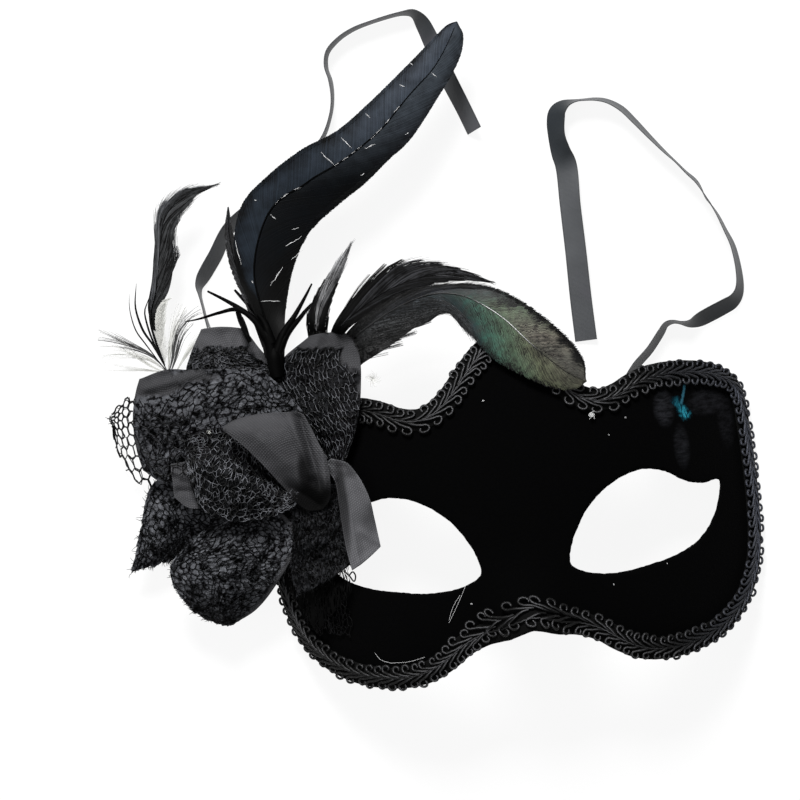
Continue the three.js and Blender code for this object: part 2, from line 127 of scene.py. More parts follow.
def face_height(x, y):
    """Height of the velvet over the table at a place on the mask."""
    crown = CROWN - CROWN_DROP * (y - CROWN_Y) ** 2
    arch = crown * (1 - (np.abs(x) / FACE_REACH) ** FACE_POWER)
    down = np.clip((NOSE_START - y) / NOSE_LENGTH, 0, 1)
    nose = NOSE_HEIGHT * down * down * (3 - 2 * down) * np.exp(-((x / NOSE_WIDTH) ** 2))
    return arch + nose + bell(x, y, **SOCKET) + bell(x, y, **CHEEK) - SINK


def face_normal(x, y):
    dx = (face_height(x + SLOPE_STEP, y) - face_height(x - SLOPE_STEP, y)) / (2 * SLOPE_STEP)
    dy = (face_height(x, y + SLOPE_STEP) - face_height(x, y - SLOPE_STEP)) / (2 * SLOPE_STEP)
    return unit(np.stack([-dx, -dy, np.ones_like(dx)], -1))


# Curves and grids of points
STEPS_PER_SPAN = 24
NOISE_SHIFT = (17.3, -9.1, 3.7)


def catmull(points, steps, closed=False):
    """Evenly spaced points on a centripetal curve through the given ones."""
    points = np.asarray(points, float)
    count = len(points)
    spans = count if closed else count - 1
    dense = []
    for k in range(spans):
        if closed:
            p0, p1, p2, p3 = (points[(k + i) % count] for i in (-1, 0, 1, 2))
        else:
            p1, p2 = points[k], points[k + 1]
            p0 = points[k - 1] if k else 2 * p1 - p2
            p3 = points[k + 2] if k + 2 < count else 2 * p2 - p1
        knots = [max(np.linalg.norm(b - a) ** 0.5, 1e-6) for a, b in ((p0, p1), (p1, p2), (p2, p3))]
        t = np.linspace(0, 1, STEPS_PER_SPAN, endpoint=False)[:, None]
        m1 = (p2 - p1) + knots[1] * ((p1 - p0) / knots[0] - (p2 - p0) / (knots[0] + knots[1]))
        m2 = (p2 - p1) + knots[1] * ((p3 - p2) / knots[2] - (p3 - p1) / (knots[1] + knots[2]))
        dense.append(
            (2 * t**3 - 3 * t**2 + 1) * p1 + (t**3 - 2 * t**2 + t) * m1
            + (3 * t**2 - 2 * t**3) * p2 + (t**3 - t**2) * m2
        )
    dense = np.vstack(dense + [points[:1] if closed else points[-1:]])
    travel = travelled(dense)
    wanted = np.linspace(0, travel[-1], steps, endpoint=not closed)
    return between(wanted, travel, dense)


def unit(vectors):
    return vectors / np.maximum(np.linalg.norm(vectors, axis=-1, keepdims=True), 1e-12)


def between(wanted, known, rows):
    """Rows of numbers at wanted places, from those at known places."""
    return np.stack([np.interp(wanted, known, column) for column in np.transpose(rows)], -1)


def gaps(points, axis=0):
    """Distances between neighbouring points along an axis."""
    return np.linalg.norm(np.diff(points, axis=axis), axis=-1)


def travelled(points, axis=0):
    """Distance along points from the first one."""
    return np.insert(np.cumsum(gaps(points, axis), axis), 0, 0, axis)


def beside(paths):
    """Directions to the side of paths and over them, at right angles to their run."""
    run = unit(np.gradient(paths, axis=-2))
    side = unit(np.cross(run, [0, 0, 1.0]) + 1e-6)
    return side, np.cross(side, run)


def squares(index):
    """The squares between rows and columns of numbered points."""
    return np.stack([index[:-1, :-1], index[:-1, 1:], index[1:, 1:], index[1:, :-1]], -1).reshape(-1, 4)


def ripple(x, y, size, seed):
    """Smooth noise from -1 to 1 at each point, with lumps of about the given size."""
    x, y = np.broadcast_arrays(x, y)
    shift = [each * seed for each in NOISE_SHIFT]
    flat = [noise.noise(Vector((a / size + shift[0], b / size + shift[1], shift[2])))
            for a, b in zip(x.ravel(), y.ravel())]
    return np.array(flat).reshape(x.shape)


class Skin:
    """Gathers points and faces, in metres, and makes one mesh object of them."""

    def __init__(self):
        self.points, self.faces, self.tags, self.coords, self.veil = [], [], [], [], []
        self.count = 0

    def add(self, points, faces, material=0, coords=None, veil=None):
        points = np.asarray(points, float).reshape(-1, 3)
        faces = np.asarray(faces, int)
        self.points.append(points)
        self.faces.append(faces + self.count)
        self.tags.append(np.full(len(faces), material))
        self.coords.append(np.zeros((len(points), 2)) if coords is None else np.reshape(coords, (-1, 2)))
        self.veil.append(np.zeros(len(points)) if veil is None else np.ravel(veil))
        self.count += len(points)

    def grid(self, points, material=0, coords=None, wrap=False):
        """A sheet of squares over rows and columns of points."""
        rows, columns = points.shape[:2]
        index = np.arange(rows * columns).reshape(rows, columns)
        if wrap:
            index = np.vstack([index, index[:1]])
        self.add(points, squares(index), material, coords)

    def tubes(self, paths, radii, sides, material=0, coords=None):
        """Round threads along one path or many of the same number of points."""
        paths = np.array(paths, float, ndmin=3)
        many, steps = paths.shape[:2]
        side, over = beside(paths)
        turn = np.arange(sides) * FULL_TURN / sides
        ring = np.cos(turn)[:, None] * side[:, :, None] + np.sin(turn)[:, None] * over[:, :, None]
        radii = np.broadcast_to(radii, (many, steps))[..., None, None]
        points = paths[:, :, None] + ring * radii
        index = np.arange(many * steps * sides).reshape(many, steps, sides)
        after = np.roll(index, -1, axis=2)
        faces = np.stack([index[:, :-1], after[:, :-1], after[:, 1:], index[:, 1:]], -1).reshape(-1, 4)
        if coords is not None:
            coords = np.broadcast_to(np.array(coords, ndmin=3)[:, :, None], (many, steps, sides, 2))
        self.add(points, faces, material, coords)

    def strips(self, paths, widths, roll=0.0, coords=None):
        """Flat strands along one path or many of the same number of points."""
        paths = np.array(paths, float, ndmin=3)
        many, steps = paths.shape[:2]
        side, over = beside(paths)
        roll = np.broadcast_to(roll, (many,))[:, None, None]
        side = side * np.cos(roll) + over * np.sin(roll)
        half = np.broadcast_to(widths, (many, steps))[..., None] / 2
        points = np.stack([paths - side * half, paths + side * half], 2)
        index = np.arange(many * steps * 2).reshape(many, steps, 2)
        faces = np.stack([index[:, :-1, 0], index[:, :-1, 1], index[:, 1:, 1], index[:, 1:, 0]], -1)
        if coords is not None:
            coords = np.broadcast_to(np.array(coords, ndmin=3)[:, :, None], (many, steps, 2, 2))
        self.add(points, faces.reshape(-1, 4), coords=coords)

    def build(self, name, *finishes):
        """Links one smooth mesh object with a finish for each tag, and lets it ride on the part."""
        mesh = bpy.data.meshes.new(name)
        faces = [tuple(face) for block in self.faces for face in block.tolist()]
        mesh.from_pydata(np.vstack(self.points).tolist(), [], faces)
        mesh.polygons.foreach_set("material_index", np.concatenate(self.tags).astype(np.int32))
        mesh.polygons.foreach_set("use_smooth", np.full(len(faces), True))
        corners = np.empty(len(mesh.loops), np.int32)
        mesh.loops.foreach_get("vertex_index", corners)
        layer = mesh.uv_layers.new(name="cloth")
        layer.data.foreach_set("uv", np.vstack(self.coords)[corners].astype(np.float32).ravel())
        veil = np.concatenate(self.veil)
        if veil.any():
            mesh.attributes.new("veil", "FLOAT", "POINT").data.foreach_set("value", veil.astype(np.float32))
        for each in finishes:
            mesh.materials.append(each)
        mesh.update()
        piece = bpy.data.objects.new(name, mesh)
        bpy.context.collection.objects.link(piece)
        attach(piece, "root")
        return piece


# Where the search for a solid's nearest edge starts, in metres, and how often it is refined
EDGE_SEARCH_HEIGHT, EDGE_SEARCHES = 0.03, 4


class Ground:
    """Height of solids of the frame, or of pieces, at any place."""

    def __init__(self, *pieces):
        points, faces = [], []
        for piece in pieces:
            start = len(points)
            points += [piece.matrix_world @ vertex.co for vertex in piece.data.vertices]
            faces += [[start + k for k in polygon.vertices] for polygon in piece.data.polygons]
        self.tree = BVHTree.FromPolygons(points, faces)

    def hit(self, x, y):
        """The topmost point at x, y in metres, or None beside the pieces."""
        return self.tree.ray_cast(Vector((x, y, 1)), Vector((0, 0, -1)))[0]

    def top(self, x, y):
        """Height of the topmost surface at x, y in metres, or of the edge nearest to it."""
        hit = self.hit(x, y)
        if hit is None:
            height = EDGE_SEARCH_HEIGHT
            for _ in range(EDGE_SEARCHES):
                hit = self.tree.find_nearest(Vector((x, y, height)))[0]
                height = hit.z
        return hit.z

    def tops(self, plan):
        """Heights in millimetres at places in mask millimetres."""
        flat = to_frame(plan).reshape(-1, 2)
        return np.array([self.top(x, y) for x, y in flat]).reshape(plan.shape[:-1]) / MM


# Materials
class Value:
    """A number that varies over a surface, which takes part in ordinary sums."""

    def __init__(self, surface, socket):
        self.surface, self.socket = surface, socket

    def _math(self, operation, *terms):
        terms = [term.socket if isinstance(term, Value) else term for term in terms]
        return self.surface.node("Math", {"operation": operation}, dict(enumerate(terms)))

    def __add__(self, other):
        return self._math("ADD", self, other)

    def __sub__(self, other):
        return self._math("SUBTRACT", self, other)

    def __rsub__(self, other):
        return self._math("SUBTRACT", other, self)

    def __mul__(self, other):
        return self._math("MULTIPLY", self, other)

    def __truediv__(self, other):
        return self._math("DIVIDE", self, other)

    def __lt__(self, other):
        return self._math("LESS_THAN", self, other)

    def __pow__(self, other):
        return self._math("POWER", self, other)

    __radd__ = __add__
    __rmul__ = __mul__

    def clamped(self):
        return self._math("MINIMUM", self._math("MAXIMUM", self, 0.0), 1.0)

    def wave(self):
        """A sine from 0 to 1."""
        return self._math("SINE", self) * 0.5 + 0.5

    def distance_from(self, other):
        return self._math("ABSOLUTE", self - other)


class Surface:
    """One material on a Principled shader: fixed settings first, then what varies."""

    def __init__(self, name, roughness, shine, **constants):
        self.material = bpy.data.materials.new(name)
        self.material.use_nodes = True
        self.tree = self.material.node_tree
        self.shader = self.tree.nodes["Principled BSDF"]
        self.shader.inputs["Roughness"].default_value = roughness
        self.shader.inputs["Specular IOR Level"].default_value = shine
        for setting, number in constants.items():
            self.shader.inputs[setting.replace("_", " ").title()].default_value = number

    def node(self, kind, settings=None, values=None, output=0):
        """One node: its settings first, then the numbers or links of its sockets."""
        made = self.tree.nodes.new("ShaderNode" + kind)
        for setting, chosen in (settings or {}).items():
            if setting == "stops":
                ramp = made.color_ramp
                for place, colour in chosen[2:]:
                    ramp.elements.new(place)
                for element, (place, colour) in zip(ramp.elements, sorted(chosen)):
                    element.position, element.color = place, colour
            else:
                setattr(made, setting, chosen)
        for socket, value in (values or {}).items():
            if isinstance(value, Value):
                value = value.socket
            if isinstance(value, bpy.types.NodeSocket):
                self.tree.links.new(value, made.inputs[socket])
            else:
                made.inputs[socket].default_value = value
        return Value(self, made.outputs[output])

    def place(self):
        return self.node("TexCoord", output="Object")

    def flat_place(self):
        return self.node("UVMap", {"uv_map": "cloth"})

    def parted(self, spot):
        return tuple(self.node("SeparateXYZ", None, {0: spot}, output=k) for k in (0, 1))

    def cloth(self):
        """The piece's own flat coordinates: how far across and how far along."""
        return self.parted(self.flat_place())

    def axes(self):
        """X and Y of the frame, in metres."""
        return self.parted(self.place())

    def noise(self, size, detail, stretch=None, roughness=0.55):
        """Clouds from 0 to 1 with lumps of about the given size, in metres."""
        spot = self.place()
        if stretch:
            spot = self.node("Mapping", None, {"Vector": spot, "Scale": stretch})
        values = {"Vector": spot, "Scale": 1 / size, "Detail": detail, "Roughness": roughness}
        return self.node("TexNoise", None, values)

    def bars(self, along, scale, detail):
        """Noise from 0 to 1 that varies along one number alone."""
        values = {"W": along, "Scale": scale, "Detail": detail}
        return self.node("TexNoise", {"noise_dimensions": "1D"}, values)

    def meshes(self, size, shake):
        """Distance from the edges of rounded cells that lie over the piece's flat coordinates."""
        spot = self.flat_place()
        drift = self.node("TexNoise", None, {"Vector": spot, "Scale": 110.0, "Detail": 3.0},
                          output=1)
        moved = self.node("VectorMath", {"operation": "SCALE"}, {0: drift, "Scale": shake})
        spot = self.node("VectorMath", {"operation": "ADD"}, {0: spot, 1: moved})
        return self.cells(spot, 1 / size, 0.45)

    def cells(self, spot, scale, randomness):
        """Distance from the edges of rounded cells."""
        values = {"Vector": spot, "Scale": scale, "Randomness": randomness}
        return self.node("TexVoronoi", {"feature": "DISTANCE_TO_EDGE"}, values)

    def facing_up(self):
        """1 where the surface faces straight up, 0 where it stands on edge."""
        normal = self.node("NewGeometry", output="Normal")
        return self.node("SeparateXYZ", None, {0: normal}, output=2)

    def patched(self, base, places, colour, strength=None):
        """A colour over the base at places: each has its middle, its reach and how far it shows."""
        x, y = self.axes()
        for *middle, reach_x, reach_y, amount in places:
            middle_x, middle_y = to_frame(middle)
            away = ((x - middle_x) / (reach_x * MM)) ** 2.0 + ((y - middle_y) / (reach_y * MM)) ** 2.0
            shown = 1 - self.span(away, 0.1, 1.0)
            base = self.mix((shown * strength if strength else shown) * amount, base, colour)
        return base

    def span(self, value, low, high):
        """0 below low, 1 above high and a smooth rise between."""
        values = {"Value": value, "From Min": low, "From Max": high}
        return self.node("MapRange", {"interpolation_type": "SMOOTHSTEP"}, values)

    def beside_line(self, x, y, start, end):
        """Distance in millimetres from a line between two places, and the share along it."""
        run_x, run_y = end[0] - start[0], end[1] - start[1]
        square = run_x**2 + run_y**2
        share = ((x - start[0]) * (run_x / square) + (y - start[1]) * (run_y / square)).clamped()
        off_x, off_y = x - start[0] - share * run_x, y - start[1] - share * run_y
        return (off_x * off_x + off_y * off_y) ** 0.5 * (1 / MM), share

    def mix(self, factor, first, second):
        values = {0: factor, 6: first, 7: second}
        return self.node("Mix", {"data_type": "RGBA"}, values, output=2)

    def feed(self, socket, value):
        self.tree.links.new(value.socket, self.shader.inputs[socket])

    def bump(self, height, depth, strength):
        values = {"Height": height, "Distance": depth, "Strength": strength}
        self.feed("Normal", self.node("Bump", None, values))


# Tints: of threads, of the velvet's painted sheen, and of the silk gimp's painted highlight and sheen
COOL, COLD, SILK = (0.95, 0.98, 1.08), (0.92, 0.95, 1.12), (0.85, 0.93, 1.2)
# How close the petals' and the lining's threads, the ties' ribs and the gimp's plies lie, in radians
# per metre, or per millimetre of cord
PETAL_WEAVE, LINING_WEAVE, TIE_RIBS, GIMP_PLIES = 7500, 9000, 14000, 9


def shade(level, tint=(1.0, 1.0, 1.0)):
    return tuple(level * channel for channel in tint[:3]) + (1.0,)


def finish(name):
    return bpy.data.materials[name]


def mask_sizes():
    return bpy.context.scene.mask_sizes


def mask_colours():
    return bpy.context.scene.mask_colours


# Painted sheen on the velvet where light grazes it: middle, reach and how far each patch shows
PAINTED_SHEEN_PATCHES = [(55.3, 50.7, 4.6, 7.5, 0.7), (71.5, 51, 8.5, 5.5, 0.45), (60.4, 36.5, 3.6, 9, 0.5),
                   (79, 44, 4, 12, 0.3)]
# A painted turquoise highlight on it, a thin streak and a glint, as lines between two places
PAINTED_GLINT_STREAK, PAINTED_GLINT = ((64.2, 57.6), (62.2, 51.6)), ((60.2, 52.6), (63.2, 47.6))


def velvet_finish():
    """Deep black nap, with painted blue-grey sheen in places and a painted turquoise highlight: a thin streak
    and a glint below it.
    """
    velvet = Surface("velvet", roughness=0.95, shine=0.025, sheen_weight=0.006, sheen_roughness=0.4)
    x, y = velvet.axes()
    nap = velvet.noise(0.0011, 4)
    # Painted sheen: streaky blue-grey patches where light grazes the nap
    sheen_streaks = velvet.span(velvet.noise(0.003, 4, (0.45, 2.4, 1), 0.7), 0.25, 0.8)
    base = velvet.mix(nap * 0.5, shade(0.0004), shade(1.0, mask_colours().velvet))
    base = velvet.patched(base, PAINTED_SHEEN_PATCHES, shade(0.03, COLD), sheen_streaks)
    # Painted turquoise highlight: a thin streak, and a glint below it with lit strokes
    shaky = velvet.noise(0.0013, 3) - 0.5
    strokes = velvet.span(velvet.noise(0.0011, 3, (2.4, 0.7, 1)), 0.36, 0.6)
    away, _ = velvet.beside_line(x, y, *to_frame(PAINTED_GLINT_STREAK))
    streak = 1 - velvet.span(away + shaky * 0.9, 0.05, 0.75)
    away, share = velvet.beside_line(x, y, *to_frame(PAINTED_GLINT))
    glint = 1 - velvet.span(away + shaky * 3.4 - share * 0.4, 0.1, 2.4)
    base = velvet.mix(glint * 0.9, base, (0.002, 0.02, 0.032, 1))
    base = velvet.mix(streak * 0.75, base, (0.03, 0.12, 0.17, 1))
    base = velvet.mix(glint * glint * strokes * (0.2 + share * 0.8), base, (0.025, 0.25, 0.33, 1))
    velvet.feed("Base Color", base)
    velvet.bump(nap, 0.0004, 0.5)
    return velvet.material


def lining_finish():
    """Plain dark woven cloth on the hollow side."""
    lining = Surface("lining", roughness=0.9, shine=0.2)
    x, y = lining.axes()
    weave = (x * LINING_WEAVE).wave() * (y * LINING_WEAVE).wave()
    cloud = lining.noise(0.004, 4)
    lining.feed("Base Color", lining.mix(weave * 0.6 + cloud * 0.4, shade(0.006), shade(0.02)))
    lining.bump(weave, 0.0001, 0.6)
    return lining.material


def gimp_finish():
    """Corded silk with a painted highlight on its upward-facing crests, and painted bluish sheen that makes
    it lighter towards the temple that has no flower.
    """
    gimp = Surface("gimp", roughness=0.45, shine=0.2, sheen_weight=0.02, sheen_roughness=0.5)
    along, _ = gimp.cloth()
    x, _ = gimp.axes()
    ply = (along * GIMP_PLIES).wave()
    cloud = gimp.noise(0.006, 3)
    # Painted bluish sheen, lighter towards the far temple
    far = gimp.span(x, SHELL_HIGH[0] - 0.045, SHELL_HIGH[0])
    # Painted highlight where the cord faces straight up
    painted_highlight = gimp.span(gimp.facing_up(), 0.86, 0.995) * (0.4 + cloud)
    lit = gimp.mix(far, shade(2.6, mask_colours().braid), shade(0.085, SILK))
    dull = gimp.mix(far, shade(0.0012), shade(0.02, SILK))
    gimp.feed("Base Color", gimp.mix((painted_highlight * (0.7 + ply * 0.3)).clamped(), dull, lit))
    gimp.feed("Roughness", 0.38 + cloud * 0.25)
    gimp.bump(ply, 0.00012, 0.7)
    return gimp.material


def backing_finish():
    """The strip of cloth under the gimp's cords."""
    backing = Surface("braid_backing", roughness=0.9, shine=0.08)
    threads = backing.noise(0.0007, 3)
    backing.feed("Base Color", backing.mix(threads, shade(0.0006), shade(0.003)))
    backing.bump(threads, 0.0003, 0.8)
    return backing.material


def organza_finish(name, tone, lace, painted_shadows, dark_lines):
    """Woven cloth along the petal's own two directions, and crumpled where net covers it.

    tone is how light the bare cloth is and lace how light the crumples under the net are, which are painted
    lit against black; painted shadow darkens the places in deep. The net's pressed lines are darker than the
    cloth, or else lighter.
    """
    cloth = Surface(name, roughness=0.7, shine=0.03)
    across, along = cloth.cloth()
    weave = (across * PETAL_WEAVE).wave() * (along * PETAL_WEAVE).wave()
    cloud = cloth.noise(0.011, 4)
    crumple = cloth.noise(0.0034, 5)
    veil = cloth.node("Attribute", {"attribute_name": "veil"}, output=2)
    rim = 1 - cloth.span(cloth.meshes(0.0031, 0.0045), 0.04, 0.3)
    light, dark = (shade(tone * share, mask_colours().petal) for share in (1.0, 0.42))
    plain = cloth.mix((weave * 0.75 + cloud * 0.45).clamped(), dark, light)
    # Painted shadow at the deep places
    plain = cloth.patched(plain, painted_shadows, shade(0.002))
    lines = 0.3 - rim * 0.35 if dark_lines else rim * 0.5 - 0.2
    # Painted light and shade of the crumpled net: crumples lit by noise over black
    fine = cloth.noise(0.0016, 4)
    lit = (lines + cloth.span(crumple * 0.5 + fine * 0.5, 0.42, 0.56) * 0.7).clamped()
    covered = cloth.mix(lit, shade(0.0003), shade(lace, COOL))
    cloth.feed("Base Color", cloth.mix(veil, plain, covered))
    cloth.feed("Roughness", 0.6 + cloud * 0.2)
    cloth.bump(weave * 0.3 + crumple * (0.3 + veil * 1.4) + rim * veil * 0.9, 0.0006, 0.8)
    return cloth.material


def net_finish(name, grey, darkest, shine):
    """Thread with a painted highlight in patches where it faces up."""
    net = Surface(name, roughness=0.45, shine=shine)
    patches = net.noise(0.0026, 3)
    # Painted highlight where the thread faces up
    painted_highlight = net.span(net.facing_up(), 0.1, 0.85)
    net.feed("Base Color", net.mix(net.span(patches, 0.42, 0.62) * painted_highlight, shade(darkest), shade(grey, COOL)))
    net.feed("Roughness", 0.32 + patches * 0.25)
    return net.material


def net_sheet_finish():
    """Near-black net drawn by holes, for the layer that lies behind the modelled threads; it also stands in
    as painted shade between the petals.
    """
    net = Surface("net_sheet", roughness=0.8, shine=0.03)
    net.feed("Alpha", net.cells(net.flat_place(), 620.0, 0.6) < 0.13)
    net.feed("Base Color", net.mix(net.noise(0.003, 3), shade(0.0005), shade(0.002)))
    return net.material


def feather_finish(name, left, right, shine, streak, rim_dark=0.4, tips=None):
    """Barbs: across runs from one edge at 0 over the shaft at a half to the other at 1.

    left and right are the vanes' colours and tips those near the feather's end. streak is how strongly
    the painted highlights on single barbs and bands of barbs show, and rim_dark how much the edges darken.
    """
    vane = Surface(name, roughness=0.45, shine=shine)
    across, along = vane.cloth()
    side = vane.span(across, 0.47, 0.53)
    tone = vane.noise(0.011, 4)
    lines = vane.bars(along, 190.0, 2.0)
    bands = vane.bars(along, 26.0, 2.0)
    colour = vane.mix(side, left + (1,), right + (1,))
    if tips:
        far = vane.mix(side, tips[0] + (1,), tips[1] + (1,))
        colour = vane.mix(vane.span(along + (tone - 0.5) * 0.2, 0.4, 0.8), colour, far)
    rim = vane.span(across.distance_from(0.5), 0.25, 0.5)
    foot = 1 - vane.span(along, 0.04, 0.2)
    blots = vane.noise(0.0035, 4)
    # Painted highlights on single barbs: barbs with low lines are dimmed
    lit = vane.span(lines, 0.4, 0.66)
    dim = (rim * rim_dark + (1 - lit) * streak + (bands - 0.4) * streak + (tone - 0.35) * 0.9 + foot * 1.1
           + (blots - 0.5) * 0.9).clamped()
    vane.feed("Base Color", vane.mix(dim, colour, shade(0.0012)))
    vane.feed("Roughness", 0.34 + tone * 0.3)
    vane.bump(lines, 0.0002, 0.35)
    return vane.material


def green_finish():
    """Black down at the root, then green that turns olive and brown, with a dark rim and painted highlights
    on single barbs.
    """
    vane = Surface("green_vane", roughness=0.42, shine=0.14)
    across, along = vane.cloth()
    tone = vane.noise(0.006, 4)
    lines = vane.bars(along + (vane.noise(0.0016, 3) - 0.5) * 0.03, 230.0, 4.0)
    mottle = vane.noise(0.0022, 4)
    shift = along + (tone - 0.5) * 0.16
    lower_stops = [
        (0.0, shade(0.06)), (1.0, (0.075, 0.075, 0.06, 1)), (0.36, (0.03, 0.036, 0.042, 1)),
        (0.46, (0.016, 0.036, 0.036, 1)), (0.55, (0.04, 0.115, 0.085, 1)), (0.66, (0.085, 0.14, 0.088, 1)),
        (0.78, (0.125, 0.14, 0.085, 1)), (0.9, (0.12, 0.122, 0.088, 1)),
    ]
    lower = vane.node("ValToRGB", {"stops": lower_stops}, {"Fac": shift})
    upper_stops = [
        (0.0, shade(0.03)), (1.0, (0.075, 0.075, 0.066, 1)), (0.42, (0.01, 0.013, 0.02, 1)),
        (0.52, (0.024, 0.05, 0.044, 1)), (0.62, (0.1, 0.132, 0.085, 1)), (0.74, (0.14, 0.13, 0.105, 1)),
        (0.86, (0.1, 0.1, 0.085, 1)),
    ]
    upper = vane.node("ValToRGB", {"stops": upper_stops}, {"Fac": shift})
    colour = vane.mix(vane.span(across, 0.4, 0.56), upper, lower)
    open_end = vane.span(along, 0.36, 0.5)
    colour = vane.mix((mottle - 0.35) * 0.6 * open_end, colour, (0.16, 0.12, 0.11, 1))
    rim = (vane.span((0.5 - across) + (tone - 0.5) * 0.5, 0.26, 0.5)
           + vane.span(across - 0.5, 0.36, 0.52) * 0.6)
    # Painted highlights on single barbs
    lit = vane.span(lines + (mottle - 0.5) * 0.5, 0.34, 0.68)
    dim = (rim * 0.8 + (1 - lit) * 0.7 + (mottle - 0.45) * 2.2 + (tone - 0.45) * 1.2
           + (1 - open_end) * (1 - lit) * 0.5).clamped()
    vane.feed("Base Color", vane.mix(dim, colour, shade(0.003)))
    vane.feed("Roughness", 0.34 + tone * 0.3)
    vane.bump(lines, 0.0002, 0.35)
    return vane.material


def pale_shaft_finish():
    """A shaft that is dark at both ends and pale between."""
    shaft = Surface("pale_shaft", roughness=0.4, shine=0.4)
    _, along = shaft.cloth()
    pale = shaft.span(along, 0.54, 0.62) * (1 - shaft.span(along, 0.74, 0.82))
    broken = shaft.span(shaft.noise(0.002, 3), 0.3, 0.6)
    shaft.feed("Base Color", shaft.mix(pale * broken, shade(0.012), shade(0.6)))
    return shaft.material


def plain_finish(name, colour, roughness, shine=0.3):
    """One colour with fine darker spots."""
    plain = Surface(name, roughness=roughness, shine=shine)
    spots = plain.noise(0.001, 3)
    plain.feed("Base Color", plain.mix(spots, shade(0.55, colour), colour))
    plain.bump(spots, 0.0001, 0.4)
    return plain.material


# Where the ties turn away from the light: middle, reach and how far they darken
SHADED_TURNS = [(31.5, 158, 10, 24, 1.0), (81, 83.5, 13, 6, 0.6), (-13.5, 198, 6, 9, 0.7)]


def ribbon_finish():
    """Ribbed satin with a selvedge, clouded and shaded where the tie turns."""
    ribbon = Surface("ribbon_satin", roughness=0.5, shine=0.22, sheen_weight=0.05, sheen_roughness=0.4)
    across, along = ribbon.cloth()
    ribs = (along * TIE_RIBS).wave()
    cloud = ribbon.noise(0.012, 3)
    selvedge = ribbon.span(across.distance_from(0.004), 0.0033, 0.0039)
    light, dark = (shade(share, mask_colours().ribbon) for share in (1.0, 0.45))
    base = ribbon.mix((ribs * 0.2 + cloud * 0.8).clamped(), dark, light)
    base = ribbon.mix(ribbon.span(ribbon.noise(0.02, 2), 0.5, 0.7) * 0.4, base, (0.07, 0.062, 0.078, 1))
    base = ribbon.patched(base, SHADED_TURNS, (0.012, 0.015, 0.018, 1))
    ribbon.feed("Base Color", ribbon.mix(selvedge * 0.35, base, shade(0.02)))
    ribbon.bump(ribs * 0.4 + selvedge, 0.0001, 0.5)
    return ribbon.material


def floor_finish():
    """Pale card that glows a little, so that it stays evenly light."""
    floor = Surface("pale_floor", roughness=0.9, shine=0.1, emission_strength=0.9,
                    emission_color=shade(1.0))
    floor.feed("Base Color", floor.mix(floor.noise(0.3, 2), shade(0.1), shade(0.11)))
    return floor.material


def cloth_and_feather_finishes():
    """Finishes that several pieces share."""
    net_finish("net_black", 0.006, 0.0005, 0.06)
    net_finish("net_dark", 0.02, 0.0005, 0.12)
    net_finish("net_grey", 0.1, 0.001, 0.2)
    net_finish("net_light", 0.13, 0.006, 0.2)
    feather_finish("blue_vane", (0.0125, 0.0175, 0.0245), (0.0018, 0.0024, 0.0032), 0.04, 0.3,
                   tips=((0.034, 0.042, 0.055), (0.034, 0.041, 0.05)))
    feather_finish("black_vane", (0.046, 0.047, 0.052), (0.03, 0.031, 0.034), 0.1, 0.95, rim_dark=0.1)
    feather_finish("soft_vane", (0.085, 0.088, 0.095), (0.06, 0.062, 0.065), 0.1, 0.9, rim_dark=-0.2)
    feather_finish("grey_vane", (0.36, 0.36, 0.37), (0.16, 0.16, 0.165), 0.1, 0.55, rim_dark=-0.3)
    green_finish()
    pale_shaft_finish()
    plain_finish("black_shaft", shade(0.0008), 0.6, shine=0.03)
    plain_finish("white_down", shade(0.55), 0.8)
    plain_finish("pale_down", (0.62, 0.62, 0.59, 1), 0.9)
    plain_finish("grey_down", (0.06, 0.06, 0.06, 1), 0.8)


# What a user would change
def metres(name, description, default):
    return bpy.props.FloatProperty(name=name, description=description, default=default, unit="LENGTH")


def rgb(name, description, default):
    return bpy.props.FloatVectorProperty(name=name, description=description, default=default,
                                         subtype="COLOR")


class MaskSizes(bpy.types.PropertyGroup):
    braid_width: metres("Braid width", "Width of the gimp over the face", 0.0098)
    braid_pitch: metres("Braid pitch", "Length of one scroll of the gimp", 0.0038)
    thread: metres("Gimp cord", "Thickness of the cord that the gimp is made of", 0.00088)
    net_thread: metres("Net thread", "Thickness of the net's thread", 0.00036)
    ribbon_width: metres("Ribbon width", "Width of the ties", 0.008)
    camera_height: metres("Camera height", "Height of the camera over the table", 0.9)


class MaskColours(bpy.types.PropertyGroup):
    velvet: rgb("Velvet", "Colour of the velvet's nap", (0.0014, 0.0014, 0.0017))
    braid: rgb("Braid", "Colour of the gimp's cord", (0.034, 0.034, 0.036))
    petal: rgb("Petals", "Colour of the flower's cloth", (0.062, 0.062, 0.066))
    ribbon: rgb("Ribbon", "Colour of the ties", (0.078, 0.082, 0.088))


# The camera looks straight down, turned a little, so that the mask tips to the left
CAMERA_TARGET = (-36.733, 64.070)
CAMERA_TURN = -6.5
CAMERA_LENS, CAMERA_SENSOR = 111.2, 36
ROOM_COLOUR, ROOM_STRENGTH = (0.97, 0.985, 1, 1), 0.22
# Two soft lamps that point at the origin: place and size in metres, and power in watts
LAMPS = (("window", (-0.1, 0.7, 0.75), 0.3, 17), ("fill", (-0.7, -0.2, 0.8), 0.8, 3))
# The floor: its size, its squares along a side and how far it lies under the part, in metres
FLOOR_SIZE, FLOOR_SQUARES, FLOOR_GAP = 24.0, 8, 0.0002


def area_light(name, place, size, power):
    data = bpy.data.lights.new(name, "AREA")
    data.energy, data.size = power, size
    lamp = bpy.data.objects.new(name, data)
    lamp.location = place
    lamp.rotation_euler = (-Vector(place)).to_track_quat("-Z", "Y").to_euler()
    bpy.context.collection.objects.link(lamp)


